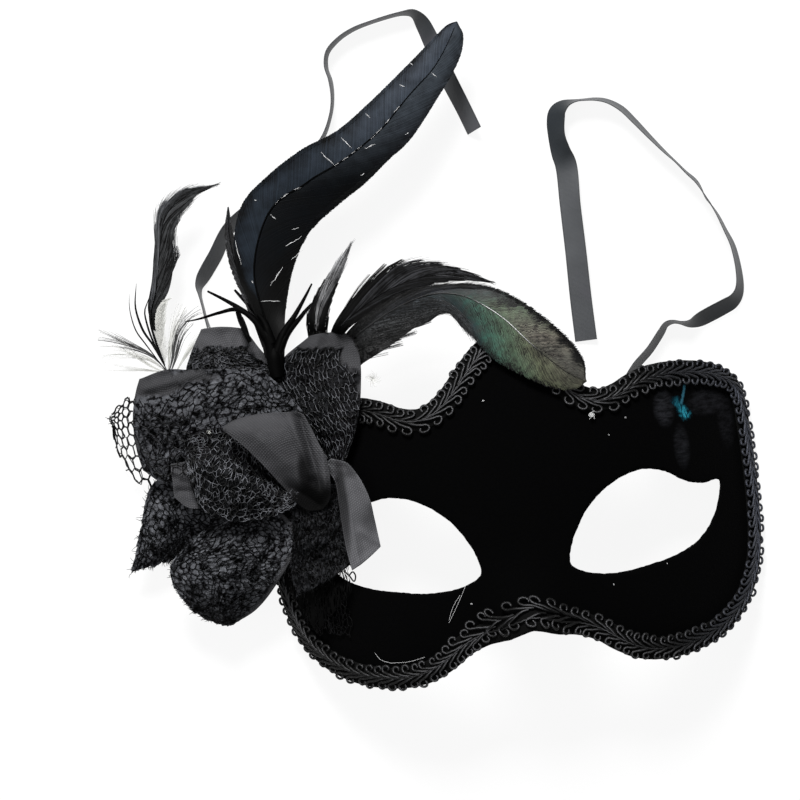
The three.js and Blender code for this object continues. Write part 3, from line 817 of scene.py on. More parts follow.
class MASK_OT_stage(bpy.types.Operator):
    """Camera, pale floor and soft studio light"""
    bl_idname = "mask.stage"
    bl_label = "Stage"

    def execute(self, context):
        camera = bpy.data.objects.new("camera", bpy.data.cameras.new("camera"))
        camera.data.lens, camera.data.sensor_width = CAMERA_LENS, CAMERA_SENSOR
        target = to_frame(CAMERA_TARGET)
        camera.location = (target[0], target[1], mask_sizes().camera_height)
        camera.rotation_euler = (0, 0, math.radians(CAMERA_TURN))
        context.collection.objects.link(camera)
        context.scene.camera = camera
        world = bpy.data.worlds.new("soft_room")
        world.use_nodes = True
        background = world.node_tree.nodes["Background"]
        background.inputs["Color"].default_value = ROOM_COLOUR
        background.inputs["Strength"].default_value = ROOM_STRENGTH
        context.scene.world = world
        context.scene.view_settings.view_transform = "Standard"
        for lamp in LAMPS:
            area_light(*lamp)
        cloth_and_feather_finishes()
        skin = Skin()
        line = np.linspace(-FLOOR_SIZE / 2, FLOOR_SIZE / 2, FLOOR_SQUARES + 1)
        x, y = np.meshgrid(line, line, indexing="ij")
        skin.grid(np.stack([x, y, np.full_like(x, -FLOOR_GAP)], -1)[::-1])
        floor = skin.build("floor", floor_finish())
        return {"FINISHED"}


# The ties: thickness and hollow across in metres, points along and across, and points of the finer
# route that their places are looked up on
TIE_THICKNESS, TIE_HOLLOW = 0.0003, 0.00018
TIE_STEPS, TIE_COLUMNS, TIE_ROUTE_STEPS = 420, 7, 900
# How far a tie stays over the table, and over how many points its turns are softened
TIE_CLEARANCE, TIE_SOFTENING = 0.35, 7


def ribbon_course(points, width, thickness):
    """Centre line in metres of a flat band, and the directions of its breadth and thickness."""
    points = np.asarray(points, float)
    route = catmull(points[:, :2], TIE_ROUTE_STEPS)
    knots = np.array([np.argmin(np.hypot(*(route - point[:2]).T)) for point in points]) / (len(route) - 1)
    share = np.linspace(0, 1, TIE_STEPS)
    fine = np.linspace(0, 1, TIE_ROUTE_STEPS)
    centre = between(share, fine, route)
    lift = np.interp(share, knots, np.pad(TIE_START, (0, len(points) - len(TIE_START))))
    roll = np.pad(np.radians(np.interp(share, knots, points[:, 2])), TIE_SOFTENING // 2, mode="edge")
    roll = np.convolve(roll, np.ones(TIE_SOFTENING) / TIE_SOFTENING, mode="valid")
    run = unit(np.gradient(centre, axis=0))
    level = np.stack([-run[:, 1], run[:, 0], np.zeros(TIE_STEPS)], -1)
    up = np.array([0, 0, 1.0])
    broad = level * np.cos(roll)[:, None] + up * np.sin(roll)[:, None]
    thin = up * np.cos(roll)[:, None] - level * np.sin(roll)[:, None]
    half = np.abs(broad[:, 2]) * width / 2 + np.abs(thin[:, 2]) * thickness / 2
    middle = raised(centre, lift + TIE_CLEARANCE + half)
    return middle, broad, thin


def make_ribbon(name, points, hollow):
    """A band with a thin edge all round, cupped by the hollow to one side."""
    width, thickness = mask_sizes().ribbon_width, TIE_THICKNESS
    middle, broad, thin = ribbon_course(points, width / MM, thickness / MM)
    share = np.linspace(-0.5, 0.5, TIE_COLUMNS)
    travel = travelled(middle)
    cup = (4 * share**2) * hollow
    sheet = middle[:, None] + broad[:, None] * (share * width)[None, :, None]
    sheet = sheet + thin[:, None] * cup[None, :, None]
    coords = np.stack(np.broadcast_arrays((share + 0.5) * width, travel[:, None]), -1)
    skin = Skin()
    over, under = sheet + thin[:, None] * thickness / 2, sheet - thin[:, None] * thickness / 2
    skin.grid(over, coords=coords)
    skin.grid(under[:, ::-1], coords=coords[:, ::-1])
    for edge in (0, -1):
        rim = np.stack([over[:, edge], under[:, edge]], 1)
        skin.grid(rim if edge else rim[:, ::-1], coords=np.stack([coords[:, edge]] * 2, 1))
    for end in (0, -1):
        rim = np.stack([over[end], under[end]], 0)
        skin.grid(rim if end else rim[::-1], coords=np.stack([coords[end]] * 2, 0))
    piece = skin.build(name + "_satin", finish("ribbon_satin"))
    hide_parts(name)
    route = middle[::3].tolist() + [middle[-1].tolist()]


class MASK_OT_ribbons(bpy.types.Operator):
    """Two satin ties, glued behind the temples and lying loose on the table"""
    bl_idname = "mask.ribbons"
    bl_label = "Ribbon ties"

    def execute(self, context):
        ribbon_finish()
        make_ribbon("ribbon_right", RIGHT_RIBBON, TIE_HOLLOW)
        make_ribbon("ribbon_left", LEFT_RIBBON, -TIE_HOLLOW)
        return {"FINISHED"}


# The face
def flipped(points):
    return [(-x, y) for x, y in points]


OUTLINE = HALF_OUTLINE + flipped(HALF_OUTLINE[1:-1])[::-1]
# The velvet's mesh: distance between its points, the field that they fill and how close they come
# to an edge, and the points along the rim and along each eye hole
NAP_STEP, NAP_FIELD, NAP_MARGIN = 1.6, ((-90, 90), (-38, 84)), 0.6
RIM_STEPS, EYE_STEPS = 420, 170
# How ragged the flock is along the eye holes and how far the edge bellies out
EYE_RAGGED, EDGE_BELLY = 0.22, 0.3
# How far the cloth stays within the mould's wall, and how far down that wall its
# edge bellies out and tucks in
FACE_INSET, BELLY_AT, TUCK_AT = 0.05, 0.35, 0.75


def inside(points, ring):
    """Which of many points lie within a closed ring."""
    x, y = points[:, 0][:, None], points[:, 1][:, None]
    ax, ay = ring[:, 0][None], ring[:, 1][None]
    bx, by = np.roll(ring[:, 0], -1)[None], np.roll(ring[:, 1], -1)[None]
    crosses = ((ay > y) != (by > y)) & (x < (bx - ax) * (y - ay) / (by - ay + 1e-12) + ax)
    return crosses.sum(1) % 2 == 1


class MASK_OT_face(bpy.types.Operator):
    """The moulded face in velvet, with its lining and two eye holes"""
    bl_idname = "mask.face"
    bl_label = "Velvet face"

    def execute(self, context):
        rim = catmull(OUTLINE, RIM_STEPS, closed=True)
        eyes = [self.ragged(catmull(ring, EYE_STEPS, closed=True))
                for ring in (EYE_OUTLINE, flipped(EYE_OUTLINE))]
        rings = [rim] + eyes
        across, up = (np.arange(*reach, NAP_STEP) for reach in NAP_FIELD)
        field = np.stack(np.meshgrid(across, up, indexing="ij"), -1).reshape(-1, 2)
        field = field + np.stack([0.3 * np.sin(field[:, 1] * 3.1), 0.3 * np.sin(field[:, 0] * 2.7)], -1)
        keep = self.on_cloth(field, rings)
        edge = np.vstack(rings)
        keep &= np.array([np.hypot(*(edge - point).T).min() > NAP_MARGIN for point in field])
        field = field[keep]
        plan = np.vstack(rings + [field])
        links, start = [], 0
        for ring in rings:
            size = len(ring)
            links += [(start + k, start + (k + 1) % size) for k in range(size)]
            start += size
        points, _, faces, *_ = delaunay_2d_cdt([Vector(p) for p in plan], links, [], 0, 1e-6)
        points = np.array([tuple(p) for p in points])
        faces = np.array(faces)
        middle = points[faces].mean(1)
        faces = faces[self.on_cloth(middle, rings)]
        x, y = points.T
        top = face_height(x, y) - FACE_INSET
        drop = (WALL - 2 * FACE_INSET) / face_normal(x, y)[:, 2]
        upper = raised(points, top)
        lower = raised(points, np.maximum(top - drop, 0))
        skin = Skin()
        skin.add(upper, faces)
        skin.add(lower, faces[:, ::-1], material=1)
        start = 0
        for k, ring in enumerate(rings):
            size = len(ring)
            index = np.arange(start, start + size)
            away = np.stack([np.roll(ring[:, 1], -1) - np.roll(ring[:, 1], 1),
                             np.roll(ring[:, 0], 1) - np.roll(ring[:, 0], -1)], -1)
            away = unit(away) * (1 if k == 0 else -1)
            if np.sum(ring[:, 0] * np.roll(ring[:, 1], -1) - ring[:, 1] * np.roll(ring[:, 0], -1)) < 0:
                away = -away
            out = ring + EDGE_BELLY * away
            belly = raised(out, top[index] - BELLY_AT * drop[index])
            tuck = raised(out, np.maximum(top[index] - TUCK_AT * drop[index], 0.02))
            skin.grid(np.stack([upper[index], belly, tuck, lower[index]], 1), wrap=True)
            start += size
        piece = skin.build("velvet_face", velvet_finish(), lining_finish())
        weld(piece)
        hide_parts("mask_shell")
        return {"FINISHED"}

    def on_cloth(self, points, rings):
        rim, *eyes = rings
        return inside(points, rim) & ~np.any([inside(points, eye) for eye in eyes], 0)

    def ragged(self, ring):
        x, y = ring.T
        return ring + EYE_RAGGED * np.stack([ripple(x, y, 1.1, 1), ripple(x, y, 1.1, 2)], -1)


def weld(piece):
    """Joins matching points and turns every face outwards."""
    work = bmesh.new()
    work.from_mesh(piece.data)
    bmesh.ops.remove_doubles(work, verts=work.verts, dist=1e-6)
    bmesh.ops.recalc_face_normals(work, faces=work.faces)
    work.to_mesh(piece.data)
    work.free()


# The braid: a strip with scrolls that leave its middle to both sides. Its sizes are for a braid 9.8
# wide: how far in from the edge and up its section goes, its middle line, and the course of one
# scroll along and away from that line, first its stem and then its ring.
BRAID_WIDE, BRAID_MIDDLE = 9.8, 3.9
BRAID_SECTION = [(-0.5, 0.15), (-0.4, 0.5), (0.6, 0.7), (2.2, 0.8), (3.9, 0.95), (5.6, 0.8), (6.8, 0.6),
                 (7.2, 0.4), (7.4, 0.1)]
SCROLL_STEM = [(-1.2, 0.28), (0.1, 0.35), (1.4, 0.72), (2.8, 1.28)]
STEM_RISE, RING_RISE = [1.15, 1.5, 1.75, 1.8], (1.7, 1.15)
RING_STEPS, RING_TURN, RING_SHRINK = 15, (-95, 215), 0.62
RING_MIDDLE, RING_REACH, RING_DROP = (4.1, 3.25), (1.45, 1.42), 0.18
# Points along the edge and the strip, and the points that the edge's direction is taken over
EDGE_STEPS, STRIP_STEPS, EDGE_SMOOTH = 1600, 700, 24
# Where the scrolls bunch up: the share of the edge to each side of the nose
BUNCHED_SHARE = 0.026
# How unequal the scrolls are: along, away from the middle, in course and up, and in
# size. The cord along the middle: its wave and height, and its radius in cords of the gimp
STRAY_ALONG, STRAY_AWAY, STRAY_COURSE, STRAY_UP, STRAY_SIZE = 0.16, 0.12, 0.1, 0.07, 0.05
SPINE_WAVE, SPINE_RATE, SPINE_HEIGHT, SPINE_RADIUS = 0.16, 3.3, 1.7, 0.42


class MASK_OT_braid(bpy.types.Operator):
    """Scroll gimp along the whole edge of the mask"""
    bl_idname = "mask.braid"
    bl_label = "Gimp braid"

    def execute(self, context):
        sizes = mask_sizes()
        pitch, thread = sizes.braid_pitch / MM, sizes.thread / MM
        widen = sizes.braid_width / MM / BRAID_WIDE
        edge = catmull(OUTLINE, EDGE_STEPS, closed=True)
        run = unit(np.roll(edge, -EDGE_SMOOTH, 0) - np.roll(edge, EDGE_SMOOTH, 0))
        inward = np.stack([run[:, 1], -run[:, 0]], -1)
        height = face_height(*edge.T)
        slope = (face_height(*(edge + 4 * inward).T) - height) / 4
        squeeze = 1 / np.sqrt(1 + slope**2)[:, None]
        length = gaps(np.vstack([edge, edge[:1]])).sum()
        rng = np.random.default_rng(5)

        def lay(along, away, lift):
            """Points at a distance along the edge, in from it and up."""
            place = np.mod(along / length, 1) * len(edge)
            k = np.floor(place).astype(int) % len(edge)
            part = (place - np.floor(place))[..., None]
            here, inwards, flatter = (rows[k] * (1 - part) + rows[(k + 1) % len(edge)] * part
                                      for rows in (edge, inward, squeeze))
            plan = here + inwards * away[..., None] * flatter
            x, y = np.moveaxis(plan, -1, 0)
            base = np.column_stack([x.ravel(), y.ravel(), np.maximum(face_height(x, y), 0.3).ravel()])
            normal = face_normal(x, y).reshape(-1, 3)
            return to_frame(base + normal * np.ravel(lift)[:, None]).reshape(*x.shape, 3)

        skin = Skin()
        around = np.arange(0, length, length / STRIP_STEPS)
        section = np.array(BRAID_SECTION) * (widen, 1)
        wobble = 0.12 * ripple(around, around * 0, 2.0, 3)
        strip = lay(np.repeat(around[:, None], len(section), 1), section[None, :, 0] + wobble[:, None],
                    np.repeat(section[None, :, 1], len(around), 0))
        skin.grid(strip, material=1, wrap=True)

        count = int(round(length / pitch))
        turn = np.radians(np.linspace(*RING_TURN, RING_STEPS))
        shrink = np.linspace(1, RING_SHRINK, RING_STEPS)[:, None]
        ring = RING_MIDDLE + RING_REACH * shrink * np.stack([np.cos(turn), np.sin(turn)], -1) - (0, RING_DROP)
        scroll = np.vstack([SCROLL_STEM, ring])
        rise = np.concatenate([STEM_RISE, np.linspace(*RING_RISE, RING_STEPS)])
        for side in (-1, 1):
            starts = (np.arange(count) + (0.5 if side > 0 else 0)) * length / count
            starts = starts + rng.normal(0, STRAY_ALONG, count)
            size = 1 + rng.normal(0, STRAY_SIZE, (count, 1))
            along = starts[:, None] + scroll[None, :, 0] * size
            lean = rng.normal(0, STRAY_AWAY, (count, 1))
            off = side * (scroll[None, :, 1] * size) + lean
            away = (BRAID_MIDDLE + off) * widen
            twist = np.stack([np.convolve(row, np.ones(3) / 3, mode="same")
                              for row in rng.normal(0, STRAY_COURSE, (count, len(scroll)))])
            lift = np.broadcast_to(rise, along.shape) + rng.normal(0, STRAY_UP, (count, 1))
            bunched = np.exp(-(((np.mod(starts / length, 1) - 0.5) / BUNCHED_SHARE) ** 4))[:, None]
            away = away + bunched * (1.5 + 0.2 * np.maximum(away, 0) + np.abs(rng.normal(0, 0.8, (count, 1))))
            lean = 0.35 * (away - away.mean(1, keepdims=True))
            along = along + bunched * (rng.normal(0, 0.9, (count, 1)) + lean)
            paths = lay(along + twist, away + twist, lift + bunched * rng.uniform(0, 0.5, (count, 1)))
            travel = np.cumsum(np.full(len(scroll), 0.45))
            coords = np.stack(np.broadcast_arrays(travel[None], np.zeros((count, 1))), -1)
            skin.tubes(paths, thread * MM / 2, 6, coords=coords)
        spine = lay(around, BRAID_MIDDLE * widen + SPINE_WAVE * np.sin(around * SPINE_RATE), SPINE_HEIGHT)
        skin.tubes(np.vstack([spine, spine[:1]]), thread * MM * SPINE_RADIUS, 5)
        piece = skin.build("gimp_braid", gimp_finish(), backing_finish())
        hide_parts("braid_trim")
        return {"FINISHED"}


# The flower: each petal between two edges, from the flower's heart to its tip.
# bulge is how far its far end swells out, and a fold is a straight line with its height and width.
# crumple and ragged are the heights of its wrinkles and of its torn edge. tone and lace are how light
# the bare and the covered cloth are, and low values also paint shade on a petal in shadow; deep are its
# painted shadows: middle, reach and how dark.
# A net has the size of its cells, its distance from the tip and both sides, the layers, how far it
# turns and warps, and its bare places: middle and reach.
PETALS = {
    "petal_lower_left": dict(
        first=[(-113, 47), (-127.8, 44.4), (-134, 30.4), (-139.6, 13.4)],
        second=[(-98, 33), (-107, 28), (-115.5, 22), (-124.5, 16)],
        folds=[(-118, 44, -133, 16, 1.2, 3.5), (-108, 36, -126, 18, -0.9, 3)],
        crumple=0.6, ragged=1.0, lace=0.12,
        net=dict(across=1.7, along=3.4, layers=1, slant=0.5, warp=1.1)),
    "petal_top_left": dict(
        first=[(-101, 55), (-110, 71), (-111.8, 82), (-109.5, 88.5), (-104.6, 97.3)],
        second=[(-78, 60), (-72, 71), (-76, 79), (-83, 86), (-89, 95.6)], bulge=0.8,
        folds=[(-97, 97, -92, 84, 1.1, 3.5), (-88, 93, -84, 82, -0.8, 2.2)], tone=1.45, lace=0.05,
        crumple=0.7, net=dict(across=2.0, along=2.8, margins=(7.0, 0.2, 3.6), threads="mixed", slant=-0.6)),
    "petal_top_right": dict(
        first=[(-72, 40), (-76, 58), (-78.5, 73), (-77.6, 81.7), (-66, 90.2)],
        second=[(-58.4, 44.3), (-52.3, 58.1), (-49.2, 75.8), (-49.4, 84), (-50.6, 88.8)], bulge=1.2,
        folds=[(-63, 91, -66, 76, 1.1, 4), (-55, 89, -53, 66, -0.8, 2.4)], crumple=0.7, lace=0.012,
        net=dict(across=1.3, along=6.0, margins=(6.0, 0.4, 0.4), warp=0.5, threads="sparse",
                 bare=[(-51.5, 84, 4.5, 8)])),
    "petal_bottom": dict(
        first=[(-104, 31), (-115.8, 22.5), (-124.7, 14.5), (-123, 4.1), (-116.5, -4.2), (-109, -9)],
        second=[(-84, 31), (-78.6, 23), (-79.6, 15.6), (-86.5, 5.5), (-96, -4.3), (-105, -9)],
        folds=[(-100, 28, -108, -6, 1.6, 6), (-87, 24, -99, -3, -0.9, 2.2), (-114, 19, -118, -1, 0.9, 3)],
        crumple=0.6, ragged=0.8, lace=0.12,
        net=dict(across=1.7, along=3.0, margins=(0.6, -1, 1.4), layers=1, slant=0.9, warp=1.1)),
    # This petal's low tone and lace are painted shade: it lies in the flower's shade
    "petal_lower_right": dict(
        first=[(-79, 35), (-80, 19), (-82, 9), (-81, -1)],
        second=[(-60, 38), (-59.5, 24), (-59.5, 14), (-60.5, 8)],
        crumple=0.9, ragged=1.2, tone=0.05, lace=0.03,
        net=dict(across=1.5, along=4.6, warp=0.4)),
    "petal_right": dict(
        first=[(-66, 44), (-62.8, 38.6), (-62.2, 30.5), (-62, 24), (-61.5, 15), (-60.2, 6.6)],
        second=[(-63, 46.5), (-57.7, 44.4), (-55.2, 41.1), (-52.9, 36.6), (-51, 30.4), (-50.4, 24.4),
                (-49.3, 13.7)], bulge=0.5,
        folds=[(-59.6, 41, -57.5, 9, 1.3, 2.4), (-62, 38, -61.2, 8, -1.2, 1.5), (-56, 20, -50, 15, 0.6, 2)],
        crumple=0.22, tone=2.2, painted_shadows=[(-60.8, 30, 2.6, 22, 0.7), (-57, 42, 5, 4, 0.4)]),
    "petal_left": dict(
        first=[(-74, 50), (-92, 52), (-111, 50), (-122.5, 44), (-130.5, 49.5)],
        second=[(-71, 64), (-75.6, 70.6), (-84.1, 79.4), (-95.2, 81.8), (-108.8, 83), (-117.9, 84.2),
                (-128.2, 82)], bulge=2.8,
        folds=[(-126, 78.5, -106, 81.5, 1.9, 2.2), (-127, 75, -109, 77.5, -1.6, 2.2),
               (-124, 50, -92, 60, 1.4, 5), (-126, 66, -96, 72, 1.1, 4), (-104, 82, -92, 66, -0.8, 3)],
        crumple=0.9, tone=0.85, lace=0.1,
        net=dict(across=2.6, along=5.2, margins=(0.3, -2, -2), layers=1, slant=0.4, warp=1.1,
                 bare=[(-122, 79.5, 10, 4.6), (-109, 80.8, 8, 2.4)])),
    "petal_small": dict(
        first=[(-107, 34), (-115, 34.5), (-119.8, 39)], second=[(-107, 54), (-114, 51.2), (-119.6, 50.8)],
        folds=[(-119, 48, -111, 44, 1.6, 2.2), (-118, 41, -111, 40, -1.2, 2.2)], crumple=0.4, tone=1.2),
    "petal_cup": dict(
        first=[(-78, 31), (-86, 28.2), (-94.6, 27.7), (-104, 29.5), (-110.5, 33.5), (-113.6, 45)],
        second=[(-72, 38), (-81, 51), (-90, 59), (-100, 61.6), (-112, 60.4)], bulge=1.0,
        folds=[(-80, 33, -108, 50, 1.8, 5), (-90, 30, -111, 40, -0.9, 2.6), (-88, 42, -108, 57, -0.8, 2.4)],
        crumple=0.8, tone=0.3, lace=0.01,
        net=dict(across=2.3, along=3.5, threads="grey", slant=0.3)),
    "petal_middle": dict(
        first=[(-69.5, 28.7), (-73.5, 29.3), (-76.8, 32.2), (-80.8, 38.2), (-87, 47.2), (-93.5, 55.3),
               (-99, 60.7)],
        second=[(-68, 29), (-65.2, 32), (-64.2, 38), (-64.4, 46.2), (-66.2, 51.1), (-68.9, 58.4),
                (-71.5, 63.4), (-78.7, 64.5), (-88.1, 64.7), (-96.4, 63.2), (-98.8, 61.4)],
        folds=[(-76, 65, -70.5, 42, 3.0, 2.8), (-72.5, 62, -68, 38, -3.2, 2.0), (-92, 62, -78, 46, 1.0, 6),
               (-65.8, 50, -66, 36, 1.6, 2.2), (-78, 38, -69, 31, -2.2, 4)], crumple=0.25, tone=1.25,
        painted_shadows=[(-72, 32, 14, 11, 0.99), (-72.5, 43, 3.4, 9, 0.85)]),
}
# The finish of the lower and the upper layer of a petal's net
NET_THREADS = {"black": ("net_black", "net_dark"), "mixed": ("net_dark", "net_grey"),
               "sparse": ("net_black", "net_grey"), "grey": ("net_light", "net_light")}
# Rows and columns of a petal and of a sheet of net
PETAL_ROWS, PETAL_COLUMNS, NET_ROWS, NET_COLUMNS = 80, 60, 44, 30
# Thickness of the cloth, how far a petal stays over what it lies on, and a height below everything
CLOTH_THICKNESS, PETAL_GAP, FAR_BELOW = 0.28, 0.45, -99.0
# How often the solid's height is evened out, how far in a petal's edge is torn, and how far in and
# how high it curls
PETAL_BLUR, TORN_REACH, CURL_REACH, EDGE_CURL = 40, 1.8, 2.0, 0.8


def blurred(field, times):
    for _ in range(times):
        wide = np.pad(field, 1, mode="edge")
        field = (wide[:-2, 1:-1] + wide[2:, 1:-1] + wide[1:-1, :-2] + wide[1:-1, 2:] + 2 * field) / 6
    return field


def plan_between(first, second, rows=NET_ROWS, columns=NET_COLUMNS, bulge=0.0):
    """Plan of a sheet between two edges, with its far end bulged outwards."""
    start, end = catmull(first, rows), catmull(second, rows)
    u = np.linspace(0, 1, columns)[None, :, None]
    v = np.linspace(0, 1, rows)[:, None]
    plan = start[:, None] * (1 - u) + end[:, None] * u
    outward = unit(((start[-1] + end[-1]) - (start[-4] + end[-4])) / 2)
    swell = bulge * (1 - (2 * u - 1) ** 2) * np.clip((v - 0.6) / 0.4, 0, 1)[:, :, None] ** 2
    return plan + outward * swell


def from_edges(plan):
    """Distances from the first edge, the second edge, the far end and the root."""
    first, travel = travelled(plan, 1), travelled(plan)
    return first, first[:, -1:] - first, travel[-1:] - travel, travel


def folded(plan, folds):
    """Height added by pressed ridges and valleys along straight lines."""
    lift = np.zeros(plan.shape[:2])
    for x0, y0, x1, y1, height, width in folds:
        start, run = np.array([x0, y0]), np.array([x1 - x0, y1 - y0])
        share = np.clip(((plan - start) @ run) / (run @ run), 0, 1)
        away = np.linalg.norm(plan - start - share[..., None] * run, axis=-1)
        lift += height * np.clip(1 - away / width, 0, 1) ** 1.3
    return lift


def grid_normals(points):
    return unit(np.cross(np.gradient(points, axis=1), np.gradient(points, axis=0)))


def faces_down(points):
    return grid_normals(points)[..., 2].mean() < 0


def sample(grid, u, v):
    """Values of a grid of rows v and columns u between its points."""
    rows, columns = grid.shape[:2]
    i, j = np.clip(v, 0, 1) * (rows - 1), np.clip(u, 0, 1) * (columns - 1)
    i0, j0 = np.minimum(i.astype(int), rows - 2), np.minimum(j.astype(int), columns - 2)
    a, b = (i - i0)[..., None], (j - j0)[..., None]
    return (grid[i0, j0] * (1 - a) * (1 - b) + grid[i0 + 1, j0] * a * (1 - b)
            + grid[i0, j0 + 1] * (1 - a) * b + grid[i0 + 1, j0 + 1] * a * b)


def lay_cloth(skin, points, coords, veil):
    """A double layer of cloth with closed edges over a grid of points in metres."""
    normal = grid_normals(points) * CLOTH_THICKNESS * MM / 2
    rows, columns = points.shape[:2]
    index = np.arange(rows * columns).reshape(rows, columns)
    top = squares(index)
    loop = np.concatenate([index[0, :-1], index[:-1, -1], index[-1, :0:-1], index[:0:-1, 0]])
    after = np.roll(loop, -1)
    size = rows * columns
    rim = np.stack([loop, loop + size, after + size, after], -1)
    faces = np.vstack([top, top[:, ::-1] + size, rim])
    skin.add(np.concatenate([points + normal, points - normal]), faces,
             coords=np.concatenate([coords, coords]), veil=np.concatenate([veil, veil]))


# How far a net's knots stray and zigzag as shares of a cell, and lie beyond their sheet as a share of
# it; how many threads are missing, and how high the net lies at least
NET_STRAY, NET_ZIGZAG, NET_OVERRUN, NET_MISSING, NET_RISE = 0.16, 0.18, 0.004, 0.03, 0.25


def lay_net(skin, points, size, keep, across, along, lift, seed, thread, warp, slant, material=0):
    """Hexagonal net over a grid of points, crumpled by warp and turned by slant.

    The cells are across by along and size is the grid's flat size; keep tells from u, v whether a
    knot belongs to the net.
    """
    rng = np.random.default_rng(seed)
    reach = 1 + 2 * abs(slant)
    many_u, many_v = max(int(reach * size[0] / across * 2), 4), max(int(reach * size[1] / along * 2), 4)
    i, j = np.meshgrid(np.arange(many_u + 1), np.arange(many_v + 1), indexing="ij")
    odd = ((i + j) % 2) * 2 - 1
    jitter = NET_STRAY * min(1, warp * 2)
    a = (i / many_u - 0.5 + rng.normal(0, jitter, i.shape) / many_u) * reach * size[0]
    b = ((j + NET_ZIGZAG * odd) / many_v - 0.5 + rng.normal(0, jitter, i.shape) / many_v) * reach * size[1]
    turn = slant + 0.35 * warp * ripple(a, b, 16.0, seed + 2)
    x, y = a * np.cos(turn) - b * np.sin(turn), a * np.sin(turn) + b * np.cos(turn)
    x = x + warp * (1.8 * ripple(a, b, 6.0, seed) + 0.7 * ripple(a, b, 2.4, seed + 3))
    y = y + warp * (1.8 * ripple(a, b, 6.5, seed + 5) + 0.7 * ripple(a, b, 2.6, seed + 7))
    u, v = x / size[0] + 0.5, y / size[1] + 0.5
    good = (np.abs(np.stack([u, v]) - 0.5) < 0.5 + NET_OVERRUN).all(0) & keep(u, v)
    base = sample(points, u, v)
    normal = sample(grid_normals(points), u, v)
    puff = np.abs(ripple(a, b, 2.2, seed + 9)) + 0.35 * rng.random(i.shape)
    spots = base + normal * ((NET_RISE + lift * puff) * MM)[..., None]
    pairs = []
    for (di, dj), linked in (((1, 0), odd != 0), ((0, 1), odd > 0)):
        one, two = slice(None, many_u + 1 - di), slice(None, many_v + 1 - dj)
        here = good[one, two] & good[di:, dj:] & linked[one, two]
        here = here & (rng.random(here.shape) > NET_MISSING)
        pairs.append(np.stack([spots[one, two][here], spots[di:, dj:][here]], 1))
    ends = np.vstack(pairs)
    middle = ends.mean(1) + rng.normal(0, 0.1 * min(1, warp * 2) * MM, (len(ends), 3))
    paths = np.stack([ends[:, 0], middle, ends[:, 1]], 1)
    skin.tubes(paths, thread * MM / 2 * rng.uniform(0.75, 1.3, (len(paths), 1)), 3, material=material)


def lay_fringe(skin, edge, inner, many, reach, thread, seed):
    """Torn thread ends that stand out of an edge, away from the points within it."""
    rng = np.random.default_rng(seed)
    k = rng.integers(0, len(edge), many)
    share = np.linspace(0, 1, 5)[None, :, None]
    lean = unit(edge - inner)[k] + rng.normal(0, 0.5, (many, 3)) * (1, 1, 0.5)
    curl = rng.normal(0, 0.6, (many, 3)) * (1, 1, 0.5)
    length = (reach * rng.uniform(0.3, 1, (many, 1)) * MM)[:, None]
    paths = edge[k][:, None] + length * (lean[:, None] * share + curl[:, None] * share**2)
    skin.tubes(paths, thread * MM / 2 * np.array([1, 0.95, 0.85, 0.7, 0.4]), 3)


def flat_size(plan):
    """Mean width and length of a plan."""
    return travelled(plan, 1)[:, -1].mean(), travelled(plan)[-1].mean()


def declare_sheet(points):
    """Works out how large the cloth was cut, from its own surface, and keeps nothing of it."""
    across, along = gaps(points, 1).sum(1), gaps(points).sum(0)
    edge_u, edge_v = np.diff(points, axis=1)[:-1], np.diff(points, axis=0)[:, :-1]
    area = float(np.linalg.norm(np.cross(edge_u, edge_v), axis=2).sum())
    width, length = float(across.max()), float(along.max())
    area = min(max(area, 0.31 * width * length), width * length)


def height_under(pile, plan):
    """Height of the topmost piece in the pile at each place, or far below where there is none."""
    ground = Ground(*pile)
    hits = [ground.hit(x, y) for x, y in to_frame(plan).reshape(-1, 2)]
    return np.array([hit.z / MM if hit else FAR_BELOW for hit in hits]).reshape(plan.shape[:2])


def covered_share(net, x, y, room, seed):
    """How far the net covers each place, 0 bare and 1 covered, from its room to each margin."""
    for middle_x, middle_y, reach_x, reach_y in net.get("bare", ()):
        away = np.hypot((x - middle_x) / reach_x, (y - middle_y) / reach_y)
        room.append((away - 1) * min(reach_x, reach_y))
    shaky = 1.3 * ripple(x, y, 1.9, seed + 8) + 1.1 * ripple(x, y, 6.0, seed + 4)
    return np.clip(np.minimum.reduce(room) + shaky + 0.5, 0, 1)


